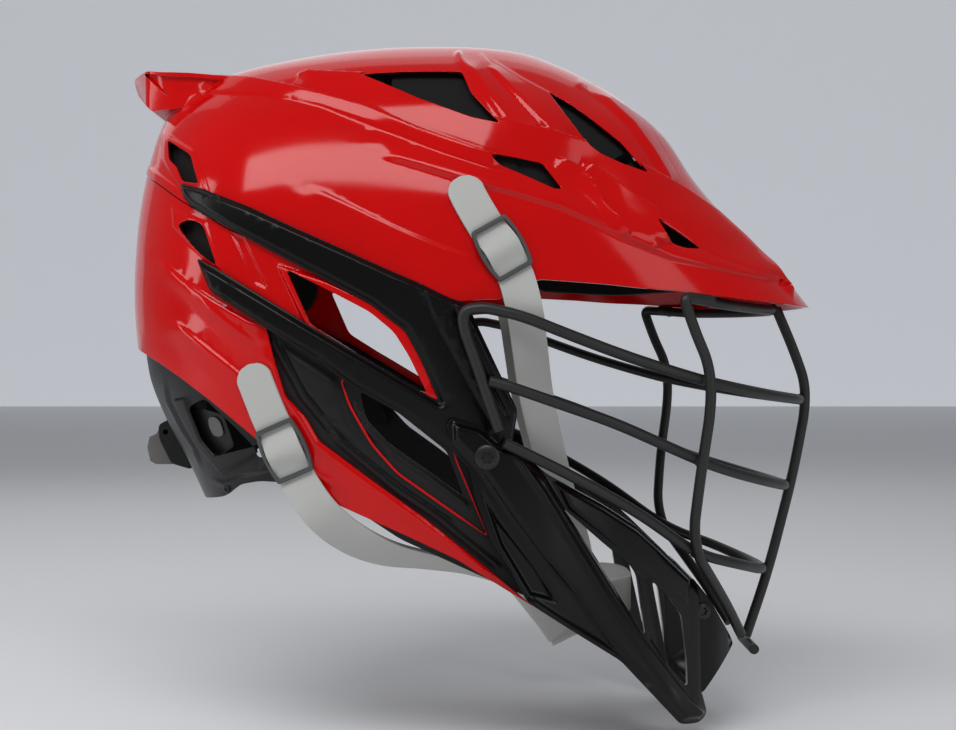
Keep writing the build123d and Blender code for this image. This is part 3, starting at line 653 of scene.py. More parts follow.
YOKE_GREY = Finish("yoke_grey", "yoke_satin", (0.011, 0.0112, 0.0116), 0.38, Grain.SATIN, specular=0.25)
LEVER_GREY = Finish("lever_grey", "lever_light", (0.13, 0.128, 0.122), 0.45, Grain.SATIN, specular=0.25)
PIN_STEEL = Finish("pin_steel", "pin_steel", (0.3, 0.3, 0.31), 0.35, Grain.BRUSHED, metallic=0.5, edge=0.0003)
BOLT_BLACK = Finish("bolt_black", "bolt_dark", (0.012, 0.012, 0.0125), 0.33, Grain.SATIN, edge=0.0003)
FOAM_BLACK = Finish("foam_black", "foam", (0.011, 0.011, 0.0115), 0.85, Grain.FOAM, specular=0.15)


class Body(Enum):
    """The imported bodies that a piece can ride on."""

    HELMET = "helmet"
    YOKE = "yoke"
    LEVER = "lever"


def as_object(bm: bmesh.types.BMesh, name: str, angle: float = SHARP) -> bpy.types.Object:
    """Turn a mesh into a shaded object in the scene, and free it.

    Args:
        bm: the mesh.
        name: the piece's name.
        angle: edges that turn by more than this many degrees stay sharp.

    Returns:
        The object.
    """
    mesh = bpy.data.meshes.new(name)
    bm.to_mesh(mesh)
    bm.free()
    made = bpy.data.objects.new(name, mesh)
    bpy.context.scene.collection.objects.link(made)
    shade(made, angle)
    return made


def shade(piece: bpy.types.Object, angle: float = SHARP) -> None:
    """Shade a piece smooth, apart from its edges that turn sharply.

    Args:
        piece: the piece.
        angle: edges that turn by more than this many degrees stay sharp.
    """
    piece.data.polygons.foreach_set("use_smooth", [True] * len(piece.data.polygons))
    piece.data.set_sharp_from_angle(angle=math.radians(angle))
    piece.data.update()


def settle(piece: bpy.types.Object) -> None:
    """Apply every modifier of a piece to its mesh."""
    graph = bpy.context.evaluated_depsgraph_get()
    mesh = bpy.data.meshes.new_from_object(piece.evaluated_get(graph))
    piece.modifiers.clear()
    old, piece.data = piece.data, mesh
    if old.users == 0:
        bpy.data.meshes.remove(old)


def discard(*pieces: bpy.types.Object) -> None:
    """Delete helper objects and their meshes.

    Args:
        pieces: the objects.
    """
    for piece in pieces:
        mesh = piece.data
        bpy.data.objects.remove(piece)
        if mesh.users == 0:
            bpy.data.meshes.remove(mesh)


class Cut(Enum):
    """What a tool does to a piece."""

    KEEP = "INTERSECT"
    TAKE = "DIFFERENCE"
    JOIN = "UNION"


def carve(piece: bpy.types.Object, tool: bpy.types.Object, how: Cut) -> None:
    """Cut a closed piece with a closed tool, and delete the tool.

    Args:
        piece: what is cut.
        tool: the tool.
        how: what the tool does.
    """
    modifier = piece.modifiers.new("carve", "BOOLEAN")
    modifier.solver = "MANIFOLD"
    modifier.operation = how.value
    modifier.object = tool
    settle(piece)
    discard(tool)
    if not piece.data.polygons:
        log.warning("nothing left of %s", piece.name)


def softened(points: Sequence[tuple[float, float]], radius: float, steps: int = 5) -> Flat:
    """Round the corners of a closed outline.

    Args:
        points: the outline.
        radius: how far along each side a corner's round starts, at most.
        steps: points on each round.

    Returns:
        The rounded outline.
    """
    spots = [Vector(p) for p in points]
    made = []
    for i, spot in enumerate(spots):
        back, ahead = spots[i - 1] - spot, spots[(i + 1) % len(spots)] - spot
        reach = min(radius, RUN_SHARE * back.length, RUN_SHARE * ahead.length)
        if reach < 10 * WELD:
            made.append(tuple(spot))
            continue
        a, b = spot + back.normalized() * reach, spot + ahead.normalized() * reach
        for k in range(steps + 1):
            t = k / steps
            made.append(tuple(a * (1 - t) ** 2 + spot * 2 * t * (1 - t) + b * t ** 2))
    return made


def prism(flat: Sequence[tuple[float, float]], near: float = -REACH, far: float = REACH,
          name: str = "tool") -> bpy.types.Object:
    """Extrude a side outline across the helmet.

    Args:
        flat: x and z of the outline.
        near: the y where it starts.
        far: the y where it ends.
        name: the object's name.

    Returns:
        A closed object.
    """
    bm = bmesh.new()
    face = bm.faces.new([bm.verts.new((x, near, z)) for x, z in flat])
    grown = bmesh.ops.extrude_face_region(bm, geom=[face])
    verts = [g for g in grown["geom"] if isinstance(g, bmesh.types.BMVert)]
    bmesh.ops.translate(bm, verts=verts, vec=(0, far - near, 0))
    bmesh.ops.recalc_face_normals(bm, faces=bm.faces)
    return as_object(bm, name)


def plan_prism(flat: Sequence[tuple[float, float]]) -> bpy.types.Object:
    """Extrude a plan outline through the whole height.

    Args:
        flat: x and y of the outline.

    Returns:
        A closed object.
    """
    tool = prism(flat)
    # The outline's z becomes y, and the depth becomes a height twice as long
    tool.data.transform(Matrix(((1, 0, 0, 0), (0, 0, 1, 0), (0, 2, 0, 0), (0, 0, 0, 1))))
    bm = bmesh.new()
    bm.from_mesh(tool.data)
    bmesh.ops.recalc_face_normals(bm, faces=bm.faces)
    bm.to_mesh(tool.data)
    bm.free()
    return tool


def slab(near: float = -REACH, far: float = REACH, low: float = -BEYOND,
         high: float = BEYOND) -> bpy.types.Object:
    """Make a tall tool between two y and two x.

    Args:
        near: the y where it starts.
        far: the y where it ends.
        low: the x where it starts.
        high: the x where it ends.

    Returns:
        A closed object.
    """
    return prism([(low, -BEYOND), (high, -BEYOND), (high, BEYOND), (low, BEYOND)], near, far)


def pierce(piece: bpy.types.Object, flat: Flat) -> None:
    """Cut an outline through both sides of a piece, but not through its middle.

    Args:
        piece: the piece.
        flat: x and z of the outline.
    """
    for near, far in ((-REACH, -SPINE), (SPINE, REACH)):
        carve(piece, prism(flat, near, far), Cut.TAKE)


def opposite(spot: Vector) -> Vector:
    """Give the same spot or direction on the other side of the helmet."""
    return Vector((spot.x, -spot.y, spot.z))


def mirrored(piece: bpy.types.Object, name: str) -> bpy.types.Object:
    """Copy a right-hand piece to the left, with its faces turned the right way.

    Args:
        piece: the piece.
        name: the copy's name.

    Returns:
        The copy.
    """
    bm = bmesh.new()
    bm.from_mesh(piece.data)
    bmesh.ops.scale(bm, vec=(1, -1, 1), verts=bm.verts)
    bmesh.ops.reverse_faces(bm, faces=bm.faces)
    made = as_object(bm, name)
    for material in piece.data.materials:
        made.data.materials.append(material)
    return made


def keep_half(piece: bpy.types.Object) -> None:
    """Cut a piece down to its right-hand half."""
    carve(piece, slab(far=0.0), Cut.KEEP)


def joined(pieces: Sequence[bpy.types.Object], name: str) -> bpy.types.Object:
    """Join pieces into one object without cutting them, and delete them.

    Args:
        pieces: the pieces.
        name: the new object's name.

    Returns:
        The new object.
    """
    bm = bmesh.new()
    for piece in pieces:
        bm.from_mesh(piece.data)
    made = as_object(bm, name)
    discard(*pieces)
    return made


def dress(piece: bpy.types.Object, finish: Finish, body: Body, *nodes: str) -> None:
    """Give a piece its finish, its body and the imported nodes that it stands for.

    Args:
        piece: the piece.
        finish: its finish.
        body: what it rides on.
        nodes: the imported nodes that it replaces.
    """
    piece.data.materials.clear()
    piece.data.materials.append(finish.material())
    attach(piece, body.value)
    if nodes:
        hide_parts(*nodes)
    log.info("%s: %d faces", piece.name, len(piece.data.polygons))


def dress_pair(right: bpy.types.Object, name: str, finish: Finish, body: Body, node: str | None) -> None:
    """Dress a right-hand piece and its mirror image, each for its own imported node.

    Args:
        right: the right-hand piece.
        name: the pair's name.
        finish: the pair's finish.
        body: what both ride on.
        node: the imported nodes' name without its side, or None where the pair adds to them.
    """
    right.name = name + "_r"
    left = mirrored(right, name + "_l")
    for piece, side in ((right, "right"), (left, "left")):
        dress(piece, finish, body, *([node + "_" + side] if node else []))


@dataclass
class Shells:
    """The crown shell with its visor and spoiler, and the rear shell with its windows."""

    crown_grid: tuple[int, int, int] = (290, 108, 2)
    rear_grid: tuple[int, int, int] = (320, 130, 3)
    sharp: float = 52.0
    seam: float = 0.5 * MM
    edge_round: float = 4 * MM
    rear_round: float = 2 * MM
    vent_round: tuple[float, int] = (2 * MM, 4)
    window_round: tuple[float, int] = (3 * MM, 4)
    spoiler_round: float = 1.2 * MM
    spoiler_plan_round: float = 3 * MM
    cove_round: float = 1.5 * MM
    edge: Outline = (
        (100, 140, 0.0), (143, 172), (162, 186), (181, 200), (210, 217), (227, 228), (284, 252), (352, 280),
        (400, 296), (440, 303), (487, 299), (500, 300), (512, 293), (537, 279), (604, 284), (640, 288),
        (680, 291), (740, 299), (803, 307), (840, 306, 0.0), (840, 20, 0.0), (100, 20, 0.0),
    )
    vents: Sequence[Outline] = (
        ((359, 75), (382, 73), (406, 72), (462, 72), (471, 93), (500, 124), (471, 118), (420, 100)),
        (
            (548, 92), (568, 103), (588, 117), (621, 143), (648, 174), (623, 165), (601, 155), (589, 146),
            (567, 117),
        ),
        ((490, 155), (503, 155), (542, 163), (562, 189), (555, 189), (524, 175), (500, 165)),
        ((656, 218), (678, 232), (701, 249), (684, 248), (671, 243)),
        ((169, 141), (191, 155), (199, 184), (183, 182), (177, 167), (170, 160.5)),
    )
    crown_reliefs: Sequence[Relief] = (
        Band(
            ((300, 76), (365, 79), (420, 99), (488, 121), (551, 135.5), (590, 147), (647.5, 173), (680, 191),
             (712, 213), (740, 238), (765, 263), (795, 296)),
            ((290, 86), (330, 96), (365, 105), (420, 124), (483, 147), (519, 155), (551, 160), (579.5, 163),
             (647.5, 210), (710, 252), (781, 281), (798, 298)),
            3.6 * MM, 0.5 * MM, 4.0, 3.0,
        ),
        Band(
            ((200, 79), (254, 82), (292, 90), (321, 97.5), (365, 109), (418, 132), (470, 150), (500, 158)),
            ((187, 91), (215.7, 92), (263.5, 93.5), (292, 98), (321, 105), (359, 119), (397.5, 133),
             (440, 150), (480, 163), (506, 172)),
            3.0 * MM, 1.0 * MM, 4.0, 2.5,
        ),
        Band(
            ((556, 160), (579.5, 171), (603, 205), (626.6, 239)),
            ((552, 163), (576, 188), (600, 215), (624, 240)),
            3.4 * MM, 0.4 * MM, 2.5, 3.0, 8.0,
        ),
        Band(
            ((582, 164), (613.5, 186), (650, 210), (668.5, 241)),
            ((580, 168), (600, 200), (626.6, 236), (650, 248)),
            4.0 * MM, 0.8 * MM, 2.5, 4.0, 8.0,
        ),
        Band(
            ((481, 56), (503, 80), (520, 100), (553, 136)), ((459, 56), (482, 88), (506, 123), (543, 134)),
            0.8 * MM, 3.0 * MM, 4.0, 6.5, 20.0,
        ),
        Band(
            ((485, 58), (520, 80), (548, 95), (567, 118), (590, 148)),
            ((481, 62), (503, 84), (522, 104), (538, 122), (555, 138)),
            0.6 * MM, 2.8 * MM, 5.0, 5.5, 20.0,
        ),
        Band(
            ((600, 85), (626, 104), (649, 127), (668, 158), (690, 197)),
            ((580, 84), (606, 100), (632, 124), (652, 152), (673, 187)),
            0.3 * MM, 2.0 * MM, 6.0, 6.0, 26.0,
        ),
        Ledge(
            ((377, 154), (420, 166), (459, 178), (488, 186), (525, 196), (561, 207), (594, 222), (624, 237.5),
             (671, 257), (725, 269), (781, 280.6)),
            1.9 * MM, 24.0, 4.0,
        ),
        Ledge(((304, 185), (350, 207), (399, 231), (440, 248), (484, 263)), 0.7 * MM, 4.0, 40.0),
        Ledge(((143, 164), (162, 178), (185, 195), (212, 210)), 0.8 * MM, 3.0, 14.0, 10.0),
        Panel(((160, 128), (196, 150), (210, 193), (180, 190), (168, 172), (162, 160)), 0.8 * MM, 4.0),
    )
    spoiler_side: Outline = (
        (134.5, 82, 0.0), (161, 71.4, 0.43), (190, 72.6, 0.47), (216, 75.2, 0.5), (254, 79, 0.5),
        (292, 87, 0.47), (312, 98, 0.42), (312, 112, 0.42), (240, 108, 0.42), (187, 110, 0.4),
        (164, 121, 0.1), (147, 103, 0.0),
    )
    cove: Outline = (
        (150, 79.5, 0.2), (163, 75.6, 0.43), (190, 76.8, 0.47), (216, 79.4, 0.5), (254, 83, 0.5),
        (300, 93, 0.47), (296, 99, 0.47), (263.5, 92.6, 0.5), (215.7, 90, 0.5), (190, 89.4, 0.46),
        (175, 93, 0.43), (168, 97, 0.4),
    )
    cove_depth: float = 1.5 * MM
    spoiler_plan: Outline = (
        (134.5, 0.01), (140, 0.10), (152, 0.25), (163, 0.38), (190, 0.44), (240, 0.52), (318, 0.38),
    )
    rear_edge: Outline = (
        (100, 140, 0.0), (143, 150), (227, 200), (284, 240), (352, 268), (400, 290), (423, 300),
        (436, 340), (452, 412), (420, 402), (361, 367), (307, 335), (265, 322), (274, 360), (285, 396),
        (306, 418), (319, 441), (371, 480), (424, 518), (480, 563), (534, 607), (458, 560), (409, 537),
        (380, 524), (336, 504), (285, 470), (256, 439), (242, 427), (211, 401), (181, 378), (160, 363),
        (148, 355), (142, 345), (100, 335, 0.0),
    )
    windows: Sequence[Outline] = (
        (
            (286, 269), (330, 291), (370, 312), (394, 332), (409, 356), (427, 393), (420, 391), (361, 356),
            (310, 324),
        ),
        ((177.5, 225), (189.5, 219), (203.5, 224.5), (217.5, 267), (202.5, 256), (190, 243)),
    )
    rear_reliefs: Sequence[Relief] = (
        Panel((
            (274, 262), (330, 281), (383, 305), (408, 328), (428, 360), (444, 404), (424, 402), (404, 366),
            (392, 344), (366, 322), (330, 301), (296, 284), (318, 336), (306, 330),
        ), 1.6 * MM, 4.0),
        Panel(((170, 205), (208, 222), (224, 272), (205, 262), (190, 246), (172, 228)), 1.0 * MM, 4.0),
        Panel(((228, 230), (244, 236), (270, 292), (254, 284)), -1.0 * MM, 3.0),
        Ledge(((156, 257), (183, 281), (216, 303), (248, 322), (266, 330)), 1.5 * MM, 3.0, 20.0),
        Ledge(((198, 295), (228, 322), (258, 345)), 1.0 * MM, 3.0, 16.0),
        Ledge(((165, 315), (198, 341), (239, 374), (262, 392)), 1.2 * MM, 3.5, 20.0),
        Ledge(
            ((268, 340), (282, 392), (303, 420), (316, 443), (369, 483), (422, 521), (500, 582)),
            1.2 * MM, 3.0, 14.0,
        ),
        Ledge(((240, 405), (275, 446), (300, 466), (345, 492)), 0.8 * MM, 16.0, 4.0),
    )

    def build(self) -> None:
        """Make and dress both shells."""
        crown = as_object(CROWN.skin(0.0, self.crown_reliefs, *self.crown_grid), "crown_skin")
        carve(crown, as_object(CROWN.skin(-WALL, (), *CROWN_TOOL_GRID), "tool"), Cut.TAKE)
        carve(crown, prism(softened(CROWN.flat(self.edge), self.edge_round)), Cut.KEEP)
        for vent in self.vents:
            pierce(crown, softened(CROWN.flat(vent), *self.vent_round))
        carve(crown, self.spoiler(), Cut.JOIN)
        shade(crown, self.sharp)
        dress(crown, SHELL_RED, Body.HELMET, "crown_shell")

        rear = as_object(HEAD.skin(0.0, self.rear_reliefs, *self.rear_grid), "rear_skin")
        carve(rear, as_object(HEAD.skin(-WALL), "tool"), Cut.TAKE)
        carve(rear, prism(softened(HEAD.flat(self.rear_edge), self.rear_round)), Cut.KEEP)
        seam = [(x, z - self.seam) for x, z in CROWN.flat(self.edge)]
        carve(rear, prism(softened(seam, self.edge_round)), Cut.TAKE)
        for window in self.windows:
            carve(rear, prism(softened(HEAD.flat(window), *self.window_round)), Cut.TAKE)
        shade(rear, self.sharp)
        dress(rear, SHELL_RED, Body.HELMET, "rear_shell")

    def spoiler(self) -> bpy.types.Object:
        """Make the spoiler that stands off the back of the crown.

        Returns:
            The spoiler, with a cove under its rim.
        """
        lip = prism(softened(HEAD.flat(self.spoiler_side), self.spoiler_round), -HALF_SHELL, HALF_SHELL)
        plan = [(place(px, 0)[0], share * HALF_SHELL) for px, share in self.spoiler_plan]
        plan += [(x, -y) for x, y in reversed(plan)]
        carve(lip, plan_prism(softened(plan, self.spoiler_plan_round)), Cut.KEEP)
        cove = prism(softened(HEAD.flat(self.cove), self.cove_round), -HALF_SHELL, HALF_SHELL)
        share = 1 - self.cove_depth / (0.5 * HALF_SHELL)
        core = [(x + self.cove_depth, y * share) for x, y in plan]
        carve(cove, plan_prism(core), Cut.TAKE)
        carve(lip, cove, Cut.TAKE)
        carve(lip, as_object(CROWN.skin(-WALL / 2), "tool"), Cut.TAKE)
        return lip


@dataclass
class SideFrames:
    """The forked side frames."""

    height: float = 4.5 * MM
    rise: float = 2.4 * MM
    slope: float = 7.0
    round: float = 2.5 * MM
    grid: tuple[int, int, int] = (300, 150, 6)
    edge: Outline = (
        (178, 182), (201, 188), (248, 206), (296, 228), (352, 253), (387, 269), (420, 283), (448, 297),
        (468, 304), (475, 320), (497, 367), (518, 411), (511, 452), (494, 478), (470, 470), (450, 450),
        (398, 413), (352, 387), (315, 359), (263, 327), (209, 291), (195, 257), (217, 269), (263, 297),
        (307, 324), (361, 356), (420, 391), (439, 402), (420, 359), (404, 330), (394, 323), (370, 304),
        (333, 284), (284, 258), (234, 231), (190, 206), (182, 196),
    )
    lines: Sequence[Relief] = (
        Ledge(((421, 287), (427, 304), (433, 319), (466, 380), (500, 442)), -0.9 * MM, 2.5, 12.0, 12.0),
        Ledge(((450, 300), (462, 330), (486, 380), (508, 420)), -0.7 * MM, 3.0, 3.0, 12.0),
    )

    def build(self) -> None:
        """Make and dress both frames."""
        reliefs = (Panel(self.edge, self.rise, self.slope), *self.lines)
        rails = as_object(HEAD.skin(self.height - self.rise, reliefs, *self.grid), "rail_skin")
        carve(rails, prism(softened(HEAD.flat(self.edge, self.height), self.round), -REACH, SIDE), Cut.KEEP)
        carve(rails, as_object(HEAD.skin(0.0), "tool"), Cut.TAKE)
        shade(rails)
        dress_pair(rails, "side_rails", FRAME_BLACK, Body.HELMET, "side_frame")


@dataclass
class EarGuards:
    """The dark inner panels with the lower windows, and their thin red lines."""

    top: float = -3.2 * MM
    wall: float = 3.0 * MM
    line_width: float = 1.0 * MM
    line_rise: float = 1.2 * MM
    line_sink: float = 0.2 * MM
    round: float = 3 * MM
    grid: tuple[int, int, int] = (300, 150, 4)
    edge: Outline = (
        (250, 306), (300, 332), (352, 364), (400, 392), (446, 414), (463, 450), (486, 500), (512, 540),
        (546, 606), (470, 572), (400, 540), (336, 498), (296, 462), (272, 424), (254, 372),
    )
    window: Outline = ((358, 391), (398, 413), (447, 452), (464, 498), (424, 469), (387, 443), (365, 419))
    trim: Outline = (
        (339, 378), (348, 406), (371, 446), (396, 474), (457, 517), (489, 538), (458, 462), (450, 436),
        (400, 402), (356, 376),
    )
    reliefs: Sequence[Relief] = (
        Panel(((272, 334), (338, 376), (368, 450), (328, 434), (294, 386)), 1.6 * MM, 12.0),
        Ledge(
            ((270, 336), (302, 396), (340, 443), (400, 493), (434, 515), (502, 570)),
            1.1 * MM, 5.0, 5.0, 10.0,
        ),
        Ledge(((276, 338), (304, 392), (341, 438), (400, 486), (462, 528)), -1.0 * MM, 3.0, 4.0, 14.0),
        Ledge(((352, 398), (366, 428), (392, 452), (430, 478), (470, 508)), 1.4 * MM, 4.0, 5.0, 12.0),
    )

    def inner(self, flat: Flat) -> Flat:
        """Give the inner outline of the line.

        Args:
            flat: its outer outline.

        Returns:
            Each point moved inwards by the line's width.
        """
        middle = Vector(flat[0]) * 0
        for spot in flat:
            middle += Vector(spot) / len(flat)
        made = []
        for i, point in enumerate(flat):
            spot = Vector(point)
            back = (spot - Vector(flat[i - 1])).normalized()
            ahead = (Vector(flat[(i + 1) % len(flat)]) - spot).normalized()
            square = Vector((-back.y - ahead.y, back.x + ahead.x))
            square.normalize()
            if square.dot(middle - spot) < 0:
                square.negate()
            made.append(tuple(spot + square * self.line_width))
        return made

    def build(self) -> None:
        """Make and dress the panels and their lines."""
        guard = as_object(HEAD.skin(self.top, self.reliefs, *self.grid), "guard_skin")
        carve(guard, prism(softened(HEAD.flat(self.edge), self.round), -REACH, SIDE), Cut.KEEP)
        carve(guard, as_object(HEAD.skin(self.top - self.wall), "tool"), Cut.TAKE)
        carve(guard, prism(softened(HEAD.flat(self.window), self.round), -REACH, SIDE), Cut.TAKE)
        shade(guard)
        dress_pair(guard, "ear_panel", GUARD_GREY, Body.HELMET, "ear_guard")
        flat = HEAD.flat(self.trim)
        line = as_object(HEAD.skin(self.top + self.line_rise), "trim_skin")
        carve(line, prism(softened(flat, self.round), -REACH, SIDE), Cut.KEEP)
        carve(line, as_object(HEAD.skin(self.top - self.line_sink), "tool"), Cut.TAKE)
        carve(line, prism(softened(self.inner(flat), self.round), -REACH, SIDE), Cut.TAKE)
        shade(line)
        dress_pair(line, "guard_line", TRIM_RED, Body.HELMET, "ear_trim")


@dataclass
class Liners:
    """The soft liners seen through the vents and from below."""

    gap: float = 0.8 * MM
    thick: float = 11.0 * MM
    pads: Sequence[tuple[str, Outline]] = (
        ("crown_liner", (
            (100, 186, 0.0), (255, 222), (420, 262), (520, 262), (556, 196), (628, 150), (730, 130, 0.0),
            (730, 20, 0.0), (100, 20, 0.0),
        )),
        ("brow_pad", ((566, 204), (636, 158), (760, 140, 0.0), (760, 286, 0.0), (640, 282), (548, 272))),
        ("rear_liner", (
            (100, 192, 0.0), (244, 228), (274, 262), (262, 296), (200, 318), (100, 318, 0.0),
        )),
    )
    seams: Sequence[Relief] = (
        Ledge(((200, 150), (300, 120), (420, 110), (520, 140), (600, 180)), -1.4 * MM, 5.0, 5.0),
        Ledge(((230, 210), (330, 200), (440, 210), (540, 240)), -1.4 * MM, 5.0, 5.0),
        Ledge(((380, 60), (384, 120), (380, 200), (370, 250)), -1.4 * MM, 5.0, 5.0),
        Ledge(((460, 74), (486, 96), (520, 160), (540, 240)), -1.4 * MM, 5.0, 5.0),
        Ledge(((600, 190), (660, 200), (720, 220)), -1.0 * MM, 4.0, 4.0),
    )
    slot: float = 4.0 * MM
    cross_slot: tuple[float, float] = (391, 399)
    ear: Outline = ((272, 338), (338, 380), (350, 410), (368, 446), (334, 434), (300, 398))
    ear_top: float = -6.4 * MM
    nape: Outline = ((100, 360, 0.0), (178, 366), (200, 392), (200, 420), (184, 425), (100, 420, 0.0))
    nape_top: float = -3.2 * MM
    thin: float = 9.0 * MM
    round: float = 8 * MM

    def pad(self, form: Form, outer: float, thick: float, flat: Flat, name: str) -> bpy.types.Object:
        """Make one pad between two layers of a form, inside an outline, with softened edges.

        Args:
            form: the form.
            outer: where its outer face lies.
            thick: its thickness.
            flat: its outline.
            name: its name.

        Returns:
            The pad.
        """
        pad = as_object(form.skin(outer, self.seams, *PAD_GRID, 1), name)
        carve(pad, as_object(form.skin(outer - thick, (), *PAD_GRID), "tool"), Cut.TAKE)
        carve(pad, prism(softened(flat, self.round)), Cut.KEEP)
        return pad

    def build(self) -> None:
        """Make and dress every pad."""
        for name, outline in self.pads:
            pad = self.pad(HEAD, -WALL - self.gap, self.thick, HEAD.flat(outline), name + "_foam")
            if name == "crown_liner":
                low, high = (place(px, 0)[0] for px in self.cross_slot)
                carve(pad, slab(-self.slot / 2, self.slot / 2), Cut.TAKE)
                carve(pad, slab(low=low, high=high), Cut.TAKE)
            shade(pad)
            dress(pad, FOAM_BLACK, Body.HELMET, name)
        ear = self.pad(HEAD, self.ear_top, self.thin, HEAD.flat(self.ear), "ear_foam")
        keep_half(ear)
        shade(ear)
        dress_pair(ear, "ear_cushion", FOAM_BLACK, Body.HELMET, "ear_pad")
        nape = self.pad(YOKE, self.nape_top, self.thin, YOKE.flat(self.nape), "nape_foam")
        shade(nape)
        dress(nape, FOAM_BLACK, Body.YOKE, "nape_pads")


